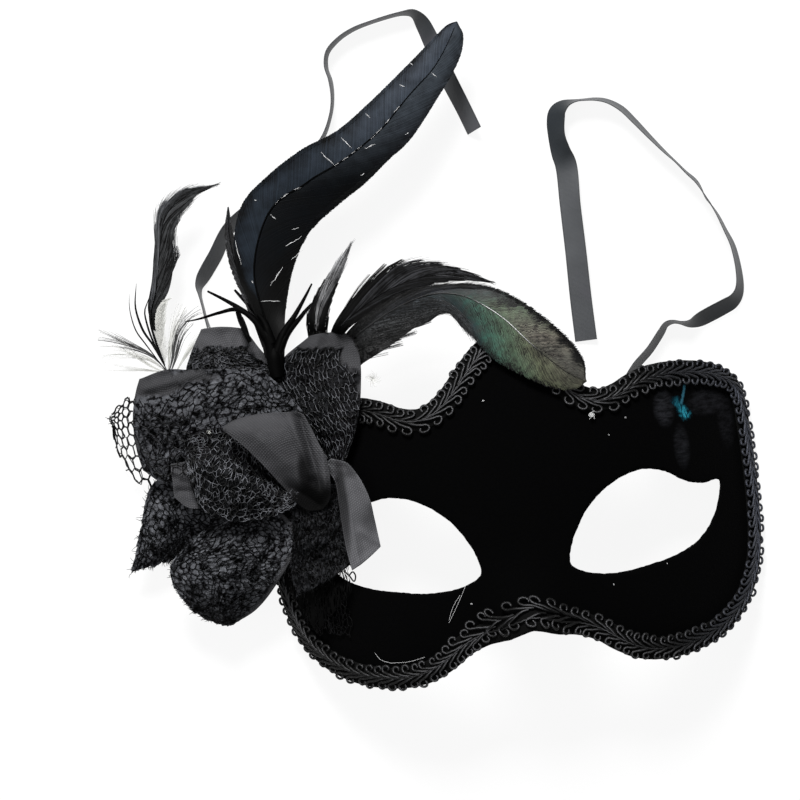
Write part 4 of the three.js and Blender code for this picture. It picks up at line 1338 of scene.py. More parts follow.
def make_petal(name, pile, first, second, crumple, bulge=0.0, folds=(), ragged=0.0, tone=1.0, lace=0.02,
               painted_shadows=(), net=None):
    """One petal over its solid and clear of the pile below, with its net and its torn threads."""
    seed = list(PETALS).index(name) + 11
    plan = plan_between(first, second, PETAL_ROWS, PETAL_COLUMNS, bulge)
    to_first, to_second, to_tip, travel = from_edges(plan)
    x, y = np.moveaxis(plan, -1, 0)
    tatter = ripple(x, y, 1.6, seed) + 0.6 * ripple(x, y, 0.7, seed + 1)
    plan = plan + ragged * (tatter * np.exp(-np.minimum(to_tip, to_first) / TORN_REACH))[..., None] * (0.8, 1)
    solid = Ground(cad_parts[name])
    height = blurred(solid.tops(plan), PETAL_BLUR)
    wrinkle = crumple * (ripple(x, y, 7.5, seed) + 0.6 * ripple(x, y, 3.1, seed + 3))
    margin = np.minimum(np.minimum(to_first, to_second), to_tip)
    curl = EDGE_CURL * np.exp(-((margin / CURL_REACH) ** 2)) * (0.5 + ripple(x, y, 12, seed + 6))
    height = height + wrinkle + blurred(folded(plan, folds), 2) + curl
    below = height_under(pile, plan)
    height = blurred(np.maximum(height, below + PETAL_GAP), 1)
    veil = np.zeros(height.shape)
    if net:
        margins = net.get("margins", (-2, -2, -2))
        room = [away - least for away, least in zip((to_tip, to_first, to_second), margins)]
        veil = covered_share(net, x, y, room, seed)
        height = height + veil * 0.5 * crumple * ripple(x, y, 1.9, seed + 5)
    points = raised(plan, height)
    coords = np.stack([to_first, travel], -1) * MM
    if faces_down(points):
        points, coords, veil, plan = points[:, ::-1], coords[:, ::-1], veil[:, ::-1], plan[:, ::-1]
    skin = Skin()
    lay_cloth(skin, points, coords, veil)
    kind = net.get("threads", "black") if net else None
    piece = skin.build(name + "_cloth", organza_finish(name + "_cloth", tone, lace, painted_shadows, kind == "black"))
    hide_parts(name)
    if net:
        def covered(u, v):
            return sample(veil[..., None], u, v)[..., 0] > 0.45

        threads = Skin()
        thread = mask_sizes().net_thread / MM
        for layer in range(net.get("layers", 2)):
            lay_net(threads, points, flat_size(plan), covered, net["across"], net["along"],
                    0.5 + 0.35 * layer, seed * 7 + layer, thread, material=layer % 2,
                    slant=net.get("slant", 0.0) + 0.3 * layer, warp=net.get("warp", 0.6))
        if ragged:
            rim = np.concatenate([points[-1], points[:, 0], points[:, -1]])
            inner = np.concatenate([points[-4], points[:, 3], points[:, -4]])
            soft = np.concatenate([veil[-1], veil[:, 0], veil[:, -1]]) > 0.5
            lay_fringe(threads, rim[soft], inner[soft], int(150 * ragged), 1.1, thread * 0.7, seed)
        finishes = map(finish, NET_THREADS[kind])
        threads.build(name + "_net", *finishes)
    declare_sheet(points)
    return piece


class MASK_OT_flower(bpy.types.Operator):
    """Cloth petals, most with crumpled net over them"""
    bl_idname = "mask.flower"
    bl_label = "Cloth flower"

    def execute(self, context):
        pile = [bpy.data.objects["velvet_face"]]
        for name, shape in PETALS.items():
            pile.append(make_petal(name, pile, **shape))
        return {"FINISHED"}


# The net that shows beside the flower, and the net that falls from it over the cheek
TUFT = dict(
    first=[(-112, 50), (-119, 45), (-124, 41.3), (-130, 42), (-136, 47.2), (-140.2, 56), (-141, 66)],
    second=[(-110, 74), (-116, 75.5), (-123, 77.2), (-130.3, 77.2), (-136, 75.4), (-141, 70.5)])
FALL = dict(
    first=[(-84, 38), (-86, 12), (-84, -4), (-77, -17)],
    second=[(-64, 38), (-62.5, 14), (-67, 5), (-64, -3), (-61.5, -10), (-64, -19)])
# A near-black sheet of net under the flower, which also paints the shade between its petals
VEIL_SHEET = dict(
    first=[(-122, 38), (-106, 22), (-88, 6), (-80, -7), (-75, -14)],
    second=[(-118, 73), (-98, 67), (-75, 43), (-63, 14), (-61, -1)])
OVER_PETAL = dict(first=[(-128, 47), (-130.5, 58), (-130.5, 70)], second=[(-111, 45), (-109, 56), (-111, 68)])
# A thread that curls out of the fall's edge
NET_LOOP = [(-63.4, 6.2), (-61.6, 4.4), (-60.1, 2.2), (-59.4, 4.2), (-60.2, 5.6), (-61.8, 4.2)]
# The cells of the coarse and the fine net
COARSE_CELL, FINE_CELL = (3.7, 5.4), (1.5, 4.4)


class MASK_OT_veil(bpy.types.Operator):
    """Net veil: a tuft that stands out at the side and a fall over the cheek"""
    bl_idname = "mask.veil"
    bl_label = "Net veil"

    def execute(self, context):
        solid = Ground(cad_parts["net_veil"])
        thread = mask_sizes().net_thread / MM
        pieces = [self.tuft(solid, thread), self.fall(thread), self.over_petal(thread)]
        plan = plan_between(**VEIL_SHEET)
        sheet, _ = self.spread(plan, blurred(solid.tops(plan), 8) - 0.4)
        across, _, _, travel = from_edges(sheet[..., :2] / MM)
        skin = Skin()
        skin.grid(sheet, coords=np.stack([across, travel], -1) * MM)
        piece = skin.build("net_sheet", net_sheet_finish())
        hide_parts("net_veil")
        for each in pieces + [piece]:
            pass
        declare_sheet(sheet)
        return {"FINISHED"}

    def tuft(self, solid, thread):
        """Two layers of coarse net that stand out at the side, with a torn end."""
        def whole(u, v):
            return v + 0.04 * ripple(u * 9, v * 9, 1, 4) < 1

        plan = plan_between(**TUFT)
        height = blurred(solid.tops(plan), 12) + 1.2 * ripple(*np.moveaxis(plan, -1, 0), 9, 32)
        points, size = self.spread(plan, height)
        threads = Skin()
        for layer in range(2):
            lay_net(threads, points, size, whole, *COARSE_CELL, 0.4, 60 + layer, thread * (1.9 - 0.8 * layer),
                    warp=0.3, slant=0.06)
        lay_fringe(threads, points[-1], points[-4], 26, 1.4, thread, 62)
        return threads.build("veil_tuft", finish("net_dark"))

    def fall(self, thread):
        """Two layers of fine net over the cheek, torn along one side, with one thread that curls."""
        def whole(u, v):
            return ((v < 0.97 + 0.05 * ripple(u * 9, v * 9, 1, 4))
                    & (u < 0.96 + 0.1 * ripple(u, v * 9, 1, 6)))

        plan = plan_between(**FALL)
        x, y = np.moveaxis(plan, -1, 0)
        points, size = self.spread(plan, face_height(x, y) + 0.7 + 1.3 * np.abs(ripple(x, y, 6, 31)))
        threads = Skin()
        for layer in range(2):
            lay_net(threads, points, size, whole, *FINE_CELL, 0.5, 63 + layer, thread * 0.8, warp=0.8,
                    slant=0.12 * layer - 0.1)
        lay_fringe(threads, points[:, -1], points[:, -4], 60, 1.4, thread * 0.6, 67)
        loop = catmull(NET_LOOP, 26)
        path = raised(loop, face_height(*loop.T) + 1.8)
        threads.tubes(path, thread * 0.8 * MM, 5)
        return threads.build("veil_fall", finish("net_black"))

    def over_petal(self, thread):
        """Coarse net that runs on over the two petals beside the tuft."""
        def whole(u, v):
            return u + 0.16 * ripple(u * 7, v * 7, 1, 5) < 0.93

        pile = [bpy.data.objects[f"petal_{side}_cloth"] for side in ("left", "small")]
        plan = plan_between(**OVER_PETAL)
        points, size = self.spread(plan, blurred(height_under(pile, plan), 2) + 1.1)
        threads = Skin()
        lay_net(threads, points, size, whole, *COARSE_CELL, 0.5, 68, thread * 1.7, warp=0.3, slant=0.06)
        return threads.build("veil_over_petal", finish("net_dark"))

    def spread(self, plan, height):
        """Points in metres and flat size in millimetres of a sheet of net."""
        points = raised(plan, height)
        return (points[:, ::-1] if faces_down(points) else points), flat_size(plan)


# Feathers: two edges from the root to the tip and, where it isn't midway, the shaft between them.
# barbs are those on each side, sweep how far a barb's end lies beyond its root as a share of the
# shaft, and shaft its thickness. fray is how unequal the barbs are, wisps how many
# stand out, fill and closed the breadth of the closed vane where it is firm and where it is loose,
# and tip where the vane starts to round off. downy is the share of the shaft whose barbs are loose
# and gather in clumps, start where the barbs begin and lead how far before it they are rooted.
# A split has its side, its place and its width.
FEATHERS = {
    "plume_sliver": dict(
        first=[(-83.5, 88), (-87.5, 104), (-91.6, 118), (-92.2, 131), (-90.4, 139.6)],
        second=[(-80, 90), (-83, 104), (-87, 117), (-89.2, 130), (-89.6, 139.6)],
        barbs=130, sweep=0.2, shaft=0.3, vane="black_vane", fray=0.2, fill=0.85, tip=0.8),
    "plume_large": dict(
        first=[(-82.5, 84), (-85, 101.5), (-89, 115), (-89, 127.5), (-84.5, 140), (-75.5, 148),
               (-61.5, 156.5), (-48.5, 161.5), (-36, 170), (-19.5, 183), (-7.5, 193), (-3.8, 195.8),
               (-1.9, 196)],
        second=[(-75.5, 84), (-73, 102), (-68, 117), (-62, 126.5), (-57.5, 130.5), (-48, 137), (-40, 142),
                (-30.5, 149.5), (-23, 155), (-10.5, 170), (-4.5, 178), (-0.9, 184.6), (0.4, 191),
                (-0.6, 195.2)],
        spine=[(-79, 84), (-81, 97.7), (-83.2, 111.4), (-82.7, 117.8), (-79.8, 127.5), (-74.9, 136.2),
               (-69, 140.9), (-63.5, 143), (-58.9, 145.6), (-50.6, 149.2), (-43.6, 152.8), (-36.9, 157.1),
               (-31.4, 161.1), (-26.6, 165.9), (-21.7, 170.7), (-17.8, 174.2), (-11.8, 179.6), (-6, 187.5),
               (-1.4, 195.6)],
        barbs=560, sweep=0.12, shaft=0.4, vane="blue_vane", fray=0.012, fill=0.985, tip=0.965,
        splits=[(1, 0.17, 0.012), (1, 0.215, 0.016), (1, 0.26, 0.012), (-1, 0.43, 0.006), (-1, 0.545, 0.006),
                (1, 0.8, 0.006)]),
    "plume_upright": dict(
        first=[(-68.5, 86), (-66.5, 97), (-61.7, 105.5), (-56, 112), (-48.2, 120.5)],
        second=[(-59, 84), (-58, 97), (-54.8, 105), (-51.8, 111), (-47.4, 120.2)],
        barbs=420, sweep=0.62, shaft=0.2, vane="grey_vane", fray=0.12, wisps=30, tip=0.8, downy=1.1,
        clumps=9, lead=0.5, closed=0.35),
    "plume_fan": dict(
        first=[(-63, 84), (-57, 95.5), (-51.2, 103), (-44.8, 108), (-34.8, 112.8), (-26, 112.7), (-17, 110),
               (-9, 106.4), (-1, 101.8)],
        second=[(-57, 82), (-52.5, 89), (-42.6, 94.6), (-34.1, 99.4), (-25.8, 102), (-17.7, 103),
                (-7.5, 102.6), (-1, 101.3)],
        spine=[(-60, 83), (-55, 91.5), (-46, 98), (-36, 103), (-26, 105.6), (-14, 105.4), (-1, 101.5)],
        barbs=520, sweep=0.5, shaft=0.2, vane="black_vane", fray=0.12, wisps=46, tip=0.9, downy=1.1,
        clumps=9, lead=0.12, closed=0.66),
    "plume_green": dict(
        first=[(-62, 80.5), (-51.5, 92), (-39.5, 98.6), (-30.5, 102), (-20.2, 102.6), (-9.8, 101.8),
               (0.4, 99), (8, 94.4), (14.6, 88.7), (20.2, 83), (25, 77), (28.2, 70.5), (28.8, 66.5),
               (28.2, 63.6)],
        second=[(-56, 71), (-49, 75.6), (-41, 79), (-34.7, 82.2), (-27, 87), (-17.3, 92), (-12.6, 86.6),
                (-7.6, 80.3), (-2.7, 73.9), (5.6, 67.9), (13.8, 63), (22.2, 60.6), (26.4, 61), (27.8, 62.6)],
        spine=[(-60, 79), (-53, 86), (-44, 91.5), (-33.5, 96.5), (-22.1, 99.4), (-12.6, 98.2), (-5.4, 94.2),
               (2.5, 87.5), (9.4, 79.3), (16.4, 71.9), (21.8, 67), (28, 63.2)],
        barbs=620, sweep=0.15, shaft=0.24, vane="green_vane", fray=0.09, fill=0.95, tip=0.93, downy=0.37,
        clumps=14, wisps=46, lead=0.13, closed=0.8, splits=[(-1, 0.6, 0.008)]),
    "plume_hackle": dict(
        first=[(-118, 84), (-121.4, 94.4), (-122.9, 102.7), (-123.8, 108), (-121.4, 117.8), (-120.4, 122.2),
               (-118, 130), (-117, 138), (-114.8, 142.6), (-109.6, 146.6), (-102.8, 148.6), (-94, 148)],
        second=[(-116.5, 84), (-120.4, 94.4), (-120, 102), (-116.6, 106.6), (-112.2, 111.2),
                (-109.6, 117.2), (-108.8, 123.4), (-109.6, 133.8), (-106.2, 138.7), (-102.1, 143.6),
                (-99, 145.6), (-93.8, 147.8)],
        spine=[(-117.2, 84), (-121, 94.4), (-122, 102.6), (-121.4, 106.7), (-119, 113.6), (-117, 123.6),
               (-115.4, 130.7), (-113.8, 136.8), (-110.3, 141.7), (-104.5, 145.2), (-99.2, 146.7),
               (-94, 147.9)],
        barbs=420, sweep=0.4, shaft=0.25, vane="soft_vane", fray=0.14, wisps=60, tip=0.8, downy=1.1,
        clumps=7, start=0.2, splits=[(1, 0.31, 0.06)]),
}
# Points along a barb, along and across a vane's plan and along its shaft
BARB_POINTS, VANE_STEPS, VANE_COLUMNS, SHAFT_STEPS = 8, 100, 11, 60
# Points across the closed vane, and how far it lies below the barbs and the shaft above them
CLOSED_COLUMNS, CLOSED_DROP, SHAFT_RISE = 19, 0.14, 0.12
# Where the last barb is rooted, the shaft's thickness there, and how thick the feathers' feet may be
# where a petal covers them
LAST_BARB, SHAFT_END, FOOT_HEIGHT = 0.985, 0.07, 17
# How high the vane arches; over what share of the shaft it turns loose, from where on
# a firm barb shows, and how far a clump pulls and shortens its barbs
VANE_ARCH, LOOSE_FADE, FIRM_START, CLUMP_PULLS, CLUMP_SHORTENS = 0.3, 0.06, 0.86, 0.6, 0.22


def over_feet(plan):
    """Which places lie where the upper right petal covers the feathers' feet."""
    cover = PETALS["petal_top_right"]
    ring = np.vstack([catmull(cover["first"], 30), catmull(cover["second"], 30)[::-1]])
    return inside(plan.reshape(-1, 2), ring).reshape(plan.shape[:2])


def make_feather(name, first, second, barbs, sweep, shaft, vane, spine=None, fray=0.1, wisps=0, start=0.0,
                 fill=0.9, tip=0.9, downy=0.0, clumps=8, lead=0.0, splits=(), closed=0.62):
    """A closed vane over the solid, with barbs on both its sides, wisps and a shaft."""
    rng = np.random.default_rng(sum(map(ord, name)))
    left, right = catmull(first, VANE_STEPS), catmull(second, VANE_STEPS)
    middle = catmull(spine, VANE_STEPS) if spine else (left + right) / 2
    share = np.linspace(-1, 1, VANE_COLUMNS)
    past = np.clip((np.linspace(0, 1, VANE_STEPS) - tip) / (1 - tip), 0, 1)
    close = np.sqrt(1 - past**2)[:, None, None]
    edge = np.where(share[None, :, None] < 0, left[:, None], right[:, None])
    plan = middle[:, None] + (edge - middle[:, None]) * np.abs(share)[None, :, None] * close
    solid = Ground(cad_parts[name])
    height = blurred(solid.tops(plan), 10) + VANE_ARCH * (1 - share**2)[None]
    dip = np.where(over_feet(plan), np.maximum(height - FOOT_HEIGHT, 0), 0) if lead else 0 * height
    height = height - np.maximum(dip, blurred(dip, 25))
    points = raised(plan, height)
    skin = Skin()

    def on_vane(t, s):
        return sample(points, (np.clip(s, -1, 1) + 1) / 2, np.clip(t, 0, 1))

    def looseness(t0):
        """0 where the vane is firm and 1 where its barbs are loose."""
        return np.clip((downy - t0) / LOOSE_FADE, 0, 1)

    def swept(t0, s):
        """How far along the shaft a barb has come at a share s of its length."""
        reach = sweep if downy > 1 else sweep + (0.3 - sweep) * looseness(t0)
        return reach * (1 - 0.45 * t0) * np.abs(s) ** 0.95

    t, s = np.meshgrid(np.linspace(start, 1, VANE_STEPS), np.linspace(-1, 1, CLOSED_COLUMNS),
                       indexing="ij")
    s = s * (fill + (closed - fill) * looseness(t))
    root = t
    for _ in range(4):
        root = np.clip(t - swept(root, s), 0, 1)
    skin.grid(on_vane(t, s) - (0, 0, CLOSED_DROP * MM), coords=np.stack([0.5 + s / 2, root], -1))

    length = gaps(middle).sum()
    for side in (-1, 1):
        t0 = np.linspace(start - lead, LAST_BARB, barbs) + rng.normal(0, 0.8 / barbs, barbs)
        loose = looseness(t0)[:, None]
        run = np.linspace(FIRM_START * (1 - loose[:, 0]), 1, BARB_POINTS, axis=1)
        reach = 1 - (fray + 0.12 * loose[:, 0]) * rng.random(barbs) ** 2
        t = t0[:, None] + swept(t0[:, None], run)
        lock = (np.round(t0 * clumps + rng.normal(0, 0.12, barbs)) / clumps)[:, None]
        from_lock = np.clip(np.abs(t0[:, None] - lock) * clumps * 2, 0, 1)
        reach = reach[:, None] * (1 - CLUMP_SHORTENS * loose * from_lock**2)
        pull = CLUMP_PULLS * loose * run**2.5
        t = t * (1 - pull) + (lock + swept(lock, run) + 0.015) * pull
        for where, at, width in splits:
            if where == side:
                gap = t0 - at
                open_up = np.sign(gap) * np.clip(width - np.abs(gap), 0, None)
                t = t + open_up[:, None] * np.clip((run - 0.5) * 2, 0, 1) ** 1.3
        s = side * run * reach
        jitter = rng.normal(0, 1, (barbs, 1, 3)) * (0.02 + 0.06 * loose[..., None]) * MM
        tight_width = length / barbs * (1.5 - 0.5 * run) * np.where(run > 0.99, 0.4, 1)
        loose_width = (0.32 - 0.24 * run) * rng.uniform(0.6, 1.3, (barbs, 1))
        widths = (tight_width * (1 - loose) + loose_width * loose) * MM
        coords = np.stack([0.5 + s / 2, t0[:, None] + 0 * s], -1)
        skin.strips(on_vane(t, s) + jitter, widths, rng.normal(0, 0.04 + 0.1 * loose[:, 0]), coords=coords)
        if wisps:
            run = np.linspace(0, 1, BARB_POINTS)[None]
            root = rng.uniform(start + 0.12, min(downy, 0.8), wisps)[:, None]
            along = on_vane(root + swept(root, run) * 1.04, side * run + 0 * root)
            out = unit(along[:, -1] - along[:, -3]) * rng.uniform(0.5, 2.6, (wisps, 1)) * MM
            bend = rng.normal(0, 0.3, (wisps, 3)) * MM * (1, 1, 0.25)
            along = along + (out + bend)[:, None] * (run[..., None] ** 3)
            coords = np.stack(np.broadcast_arrays(0.5 + side * run / 2, root), -1)
            skin.strips(along, (0.22 - 0.16 * run[0]) * MM, 0.0, coords=coords)
    places = np.linspace(start, LAST_BARB, SHAFT_STEPS)
    rachis = on_vane(places, 0 * places) + (0, 0, SHAFT_RISE * MM)
    skin.tubes(rachis, np.linspace(shaft, SHAFT_END, SHAFT_STEPS) * MM, 6, material=1,
               coords=np.stack([np.full_like(places, 0.5), places], -1))
    pale = name == "plume_green"
    piece = skin.build(name + "_barbs", finish(vane), finish("pale_shaft" if pale else "black_shaft"))
    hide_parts(name)


# Marks on the largest feather, as lines between two places
WHITE_MARKS = [
    (-88.7, 127.4, -87.3, 118.3), (-84.3, 112, -83.9, 111.2), (-81.7, 104.5, -75, 103.8),
    (-77.9, 109.8, -72.6, 115.6), (-69.5, 118.1, -64.8, 121.1), (-71.1, 122.9, -65, 125.8),
    (-67.9, 128.6, -65.4, 129), (-75.1, 134.8, -73.1, 132.8), (-80.1, 140.6, -79.6, 140),
    (-54.8, 154.7, -50.7, 149.6), (-47, 158.9, -43.4, 154.6), (-37.2, 166.4, -36.1, 164.8),
    (-24.2, 175.1, -22.6, 174.3), (-19.7, 182.4, -18.8, 181.8), (-12.6, 178.2, -10.7, 176.6),
    (-41.5, 144.7, -40, 145.6), (-39, 154.1, -35.3, 155.1), (-24.3, 157.4, -22.8, 158),
]
# Loose barbs about the crescent feather's foot, each with its width
LOOSE_BARBS = [
    ([(-119, 84), (-125, 94.2), (-127.8, 99.2), (-129, 104.5), (-129.2, 108.6), (-128.7, 112.7)], 0.5),
    ([(-118.5, 84), (-122.6, 93.9), (-125.2, 98.8), (-126.7, 104.2), (-127.1, 108.4), (-125.8, 116.2)], 0.85),
    ([(-118.5, 84), (-122, 94), (-123.6, 100.7), (-124, 105.9), (-123.2, 107.9), (-120.9, 112.3)], 0.75),
    ([(-119, 86), (-121.6, 96), (-122.4, 104), (-121.2, 110)], 0.9),
]
# Bundles of fine hairs: their middle line, spread, number, and 1 for pale or 0 for grey
HAIR_BUNDLES = [
    ([(-118, 83), (-123.5, 90.2), (-129.8, 94.5), (-135.7, 98.3), (-141, 101.9)], 1.3, 18, 0),
    ([(-118, 83), (-123.1, 89.7), (-129, 93.5), (-135, 96), (-142, 97.8)], 1.9, 24, 0),
    ([(-118, 83), (-124.9, 88.9), (-131.9, 91.2), (-137.3, 92), (-142.5, 91.5)], 2.0, 20, 1),
    ([(-118, 83), (-126, 85), (-134, 86.5), (-141, 88)], 1.8, 14, 1),
    ([(-118.5, 82), (-116, 88.5), (-113.5, 97), (-109.2, 102.1), (-103.5, 104.8)], 2.2, 30, 0),
    ([(-118, 82), (-114.5, 89), (-111.5, 96), (-107.5, 100)], 2.4, 24, 0),
    ([(-117, 81), (-112.5, 87), (-107, 93), (-101, 97)], 2.2, 26, 1),
    ([(-118.5, 82), (-116.6, 91), (-113.5, 100), (-109.8, 106.5)], 2.0, 34, 1),
    ([(-118.5, 83), (-124, 86), (-131, 92), (-137, 97)], 2.6, 14, 1),
]
# The downy tuft's stem, and puffs of the finest down: middle, size and number
PUFFS = [((-45.3, 72.5), 3.2, 40), ((-104.4, 60.8), 1.3, 12)]
DOWN_STEM = [(-118.9, 84), (-119.4, 88), (-121, 93.5), (-121.6, 100.9), (-120.6, 106.2), (-117, 111)]
# Bare quills and the feathers' feet: their course, and half their thickness along it
QUILLS = [
    ([(-100.7, 110.5), (-94.8, 106.6), (-89.8, 102.9), (-85, 98.3), (-81.1, 92.5), (-79.6, 84)],
     (0.3, 0.5, 0.75, 1.0, 1.4, 1.7)),
    ([(-109.9, 100.5), (-104.4, 101), (-97.1, 102.2), (-90.8, 102.6), (-85.8, 99.3), (-81, 91)],
     (0.15, 0.35, 0.5, 0.7, 0.9, 1.2)),
    ([(-91, 109.8), (-88.5, 106.4), (-84.6, 101.4), (-81.5, 97), (-79.6, 89)], (0.35, 0.55, 0.8, 1.1, 1.5)),
    ([(-90.8, 101.8), (-90, 99), (-88.8, 95.7), (-87.2, 90.5)], (0.7, 0.9, 0.8, 0.6)),
    ([(-63.4, 108.9), (-66.3, 104.3), (-70.6, 98), (-74.8, 92.7), (-78.1, 86)], (0.25, 0.5, 0.75, 1.1, 1.6)),
    ([(-60.5, 104.1), (-64.9, 101), (-68.9, 97), (-74, 91.7), (-77.8, 85)], (0.2, 0.5, 0.75, 1.1, 1.4)),
    ([(-77.5, 107), (-77.9, 101.1), (-78.5, 95.8), (-79.2, 90.5), (-79, 77)], (0.4, 1.2, 1.9, 2.3, 2.0)),
    ([(-80.8, 106), (-81, 99), (-80.6, 91), (-79.4, 78)], (0.3, 1.0, 1.6, 1.7)),
    ([(-74.8, 105), (-75.6, 97), (-76.8, 90), (-78.4, 78)], (0.3, 1.0, 1.6, 1.6)),
]
# Hairs in the downy tuft, split fibres on each quill, and flecks along the largest feather's shaft
DOWN_HAIRS, QUILL_FIBRES, SHAFT_FLECKS = 620, 16, 20
# How high over the table the loose barbs, the hairs, the tuft and the puffs lie
BARB_HEIGHT, HAIR_HEIGHT, TUFT_HEIGHT, PUFF_HEIGHT = 14, 13, 12.8, 33
# How high a quill's foot lies, and how far it has risen at its end
QUILL_HEIGHT, QUILL_RISE = 16, 9


class MASK_OT_feathers(bpy.types.Operator):
    """Feathers with their shafts and barbs, bare quills and loose down"""
    bl_idname = "mask.feathers"
    bl_label = "Feathers"

    def execute(self, context):
        for name, shape in FEATHERS.items():
            make_feather(name, **shape)
        self.white_marks()
        self.quills()
        self.down()
        return {"FINISHED"}

    def white_marks(self):
        """Thin pale lines across the largest feather and flecks along its shaft."""
        rng = np.random.default_rng(3)
        over = Ground(bpy.data.objects["plume_large_barbs"])
        marks = Skin()
        for x0, y0, x1, y1 in WHITE_MARKS:
            plan = np.linspace((x0, y0), (x1, y1), 7) + rng.normal(0, 0.1, (7, 2))
            path = raised(plan, over.tops(plan) + 0.12)
            widths = np.clip(np.sin(np.linspace(0.15, 3.0, 7)) * rng.uniform(0.1, 0.36, 7), 0.07, 1) * MM
            marks.strips(path, widths)
        spine = catmull(FEATHERS["plume_large"]["spine"], 400)[150:310]
        for k in rng.choice(len(spine) - 6, SHAFT_FLECKS, replace=False):
            plan = spine[k:k + 6] + rng.normal(0, 0.15, (1, 2))
            path = raised(plan, over.tops(plan) + 0.1)
            marks.strips(path, rng.uniform(0.04, 0.13, 6) * MM)
        marks.build("plume_large_flecks", finish("white_down"))

    def quills(self):
        """Bare tapered quills with split fibres along them."""
        skin = Skin()
        rng = np.random.default_rng(4)
        for points, radii in QUILLS:
            route = catmull(points, 30)
            places = np.linspace(0, 1, 30)
            radius = np.interp(places, np.linspace(0, 1, len(radii)), radii)
            height = QUILL_HEIGHT + QUILL_RISE * np.clip(places * 1.3, 0, 1)
            path = raised(route, height)
            skin.tubes(path, radius * 1.25 * MM, 8)
            for _ in range(QUILL_FIBRES):
                shift = rng.normal(0, 0.45, 2)
                rag = raised(route + shift * np.minimum(radius, 1)[:, None], height + 0.3)
                first = rng.integers(0, 12)
                skin.strips(rag[first:first + 14], 0.22 * MM)
        piece = skin.build("bare_quills", finish("black_shaft"))
        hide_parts("quill_bunch")

    def down(self):
        """Loose barbs, bundles of hairs, the downy tuft and the puffs."""
        rng = np.random.default_rng(8)
        dark, grey, pale = Skin(), Skin(), Skin()
        for points, width in LOOSE_BARBS:
            route, share = catmull(points, 20), np.linspace(0, 1, 20)
            path = raised(route, BARB_HEIGHT + 1.5 * share)
            taper = width * np.sin(np.clip(0.25 + share * 2.75, 0, math.pi)) * MM
            dark.strips(path, np.maximum(taper, 0.06 * MM))
        for points, spread, many, is_pale in HAIR_BUNDLES:
            route, share = catmull(points, 12), np.linspace(0, 1, 12)
            aside = unit(np.stack([-np.gradient(route[:, 1]), np.gradient(route[:, 0])], -1))
            for _ in range(many):
                off = spread * (rng.normal(0, 0.55) * share**1.4 + rng.normal(0, 0.3) * share**2.5)
                trim = rng.uniform(0.6, 1.06)
                hair = between(share * trim, share, route + aside * off[:, None])
                path = raised(hair, HAIR_HEIGHT + share + rng.normal(0, 0.3))
                (pale if is_pale else grey).strips(path, (0.22 - 0.15 * share) * MM)
        stem = catmull(DOWN_STEM, 60)
        ahead = unit(np.gradient(stem, axis=0))
        out = np.stack([ahead[:, 1], -ahead[:, 0]], -1)
        share = np.linspace(0, 1, 8)[:, None]
        for _ in range(DOWN_HAIRS):
            k = rng.integers(6, 54)
            reach = 6.2 * math.sin(math.pi * (0.12 + 0.8 * k / 60)) * rng.uniform(0.55, 1.05)
            route = stem[k] + reach * (ahead[k] * share * 1.25 + out[k] * share**1.2 * 0.95)
            path = raised(route, TUFT_HEIGHT + share[:, 0])
            pale.strips(path, np.linspace(0.24, 0.07, 8) * MM)
        share = np.linspace(0, 1, 6)
        for centre, size, many in PUFFS:
            for _ in range(many):
                angle = rng.uniform(0, FULL_TURN) + share
                reach = size * rng.uniform(0.4, 1) * share
                route = centre + np.column_stack([reach * np.cos(angle), reach * np.sin(angle)])
                pale.strips(raised(route, PUFF_HEIGHT + share), np.linspace(0.11, 0.04, 6) * MM)
        for name, skin, kind in (("loose_barbs", dark, "black_vane"), ("grey_hairs", grey, "grey_down"),
                                 ("pale_down", pale, "pale_down")):
            skin.build(name, finish(kind))


# Lint on the velvet: place and size; the knot of lint on the braid; the courses of loose fibres; and
# how broad these and the lint's own fibres are
LINT = [(40.8, 49.1, 0.32), (34.1, 43.8, 0.2), (29.8, -7.9, 0.36), (50, -3.7, 0.2), (-8.2, 60.5, 0.3),
        (-20.1, -8.8, 0.34)]
BRAID_LINT = (28.6, 51.4)
FIBRES = [[(-21.3, -2.2), (-24.5, -8), (-28.6, -14.8)], [(-23.7, -5.5), (-26.6, -9.4), (-28.5, -13.8)],
          [(-55.6, -23.4), (-53.7, -26), (-50.3, -27.3)], [(-50.3, -27.3), (-44, -27.2), (-38.2, -26)]]
FIBRE_WIDTH, LINT_WIDTH = 0.12, 0.16


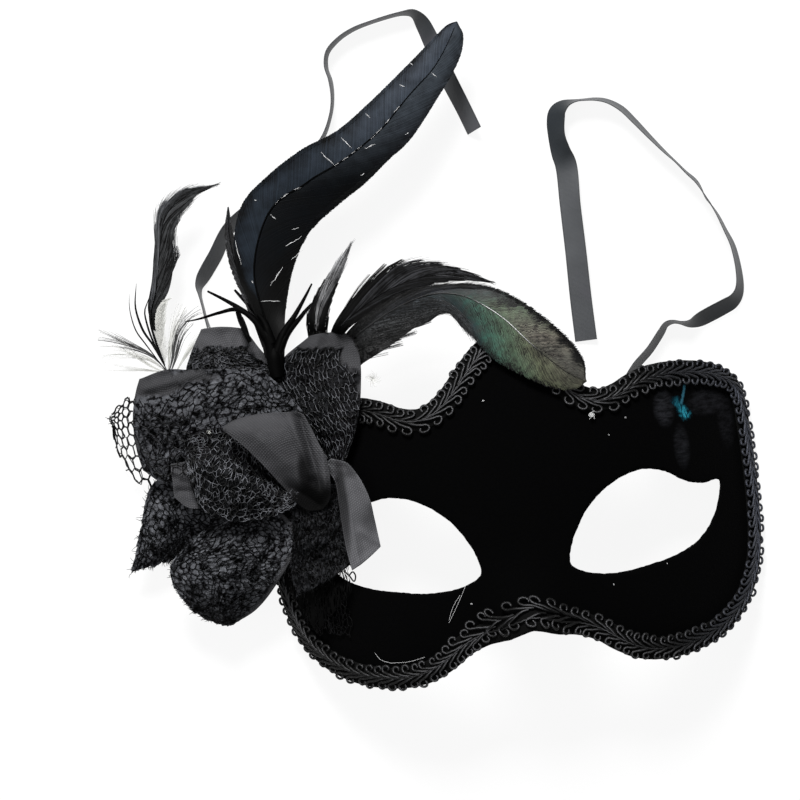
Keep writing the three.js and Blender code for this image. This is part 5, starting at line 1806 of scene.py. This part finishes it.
class MASK_OT_lint(bpy.types.Operator):
    """Specks of lint and a few loose fibres on the velvet"""
    bl_idname = "mask.lint"
    bl_label = "Lint"

    def execute(self, context):
        rng = np.random.default_rng(12)
        skin = Skin()
        for x, y, size in LINT:
            self.tangle(skin, rng, (x, y), size, 5, 0.1)
        self.tangle(skin, rng, BRAID_LINT, 1.0, 34, 2.0)
        for course in FIBRES:
            route = catmull(course, 16)
            path = raised(route, face_height(*route.T) + 0.4)
            skin.strips(path, FIBRE_WIDTH * MM)
        skin.build("lint", finish("white_down"))
        return {"FINISHED"}

    def tangle(self, skin, rng, centre, size, many, lift):
        """Short curled fibres about a place, at a height over the face."""
        for _ in range(many):
            ends = np.array(centre) + rng.normal(0, 0.5 * size, (3, 2))
            route = catmull(ends, 6)
            path = raised(route, face_height(*route.T) + lift + rng.uniform(0, 0.4, 6))
            skin.strips(path, LINT_WIDTH * MM)


class MASK_PT_panel(bpy.types.Panel):
    """Lists what the mask is made of"""
    bl_idname = "MASK_PT_panel"
    bl_label = "Feathered half mask"
    bl_space_type = "VIEW_3D"
    bl_region_type = "UI"
    bl_category = "Mask"

    def draw(self, context):
        for group in (mask_sizes(), mask_colours()):
            for name in group.__annotations__:
                self.layout.prop(group, name)
        for operator in OPERATORS:
            self.layout.operator(operator.bl_idname)


OPERATORS = (MASK_OT_stage, MASK_OT_ribbons, MASK_OT_face, MASK_OT_braid, MASK_OT_flower, MASK_OT_veil,
             MASK_OT_feathers, MASK_OT_lint)
CLASSES = (MaskSizes, MaskColours, *OPERATORS, MASK_PT_panel)


def register():
    for each in CLASSES:
        bpy.utils.register_class(each)
    bpy.types.Scene.mask_sizes = bpy.props.PointerProperty(type=MaskSizes)
    bpy.types.Scene.mask_colours = bpy.props.PointerProperty(type=MaskColours)


def unregister():
    del bpy.types.Scene.mask_colours
    del bpy.types.Scene.mask_sizes
    for each in reversed(CLASSES):
        bpy.utils.unregister_class(each)


def main():
    register()
    for operator in OPERATORS:
        group, name = operator.bl_idname.split(".")
        getattr(getattr(bpy.ops, group), name)()


if __name__ == "__main__":
    main()
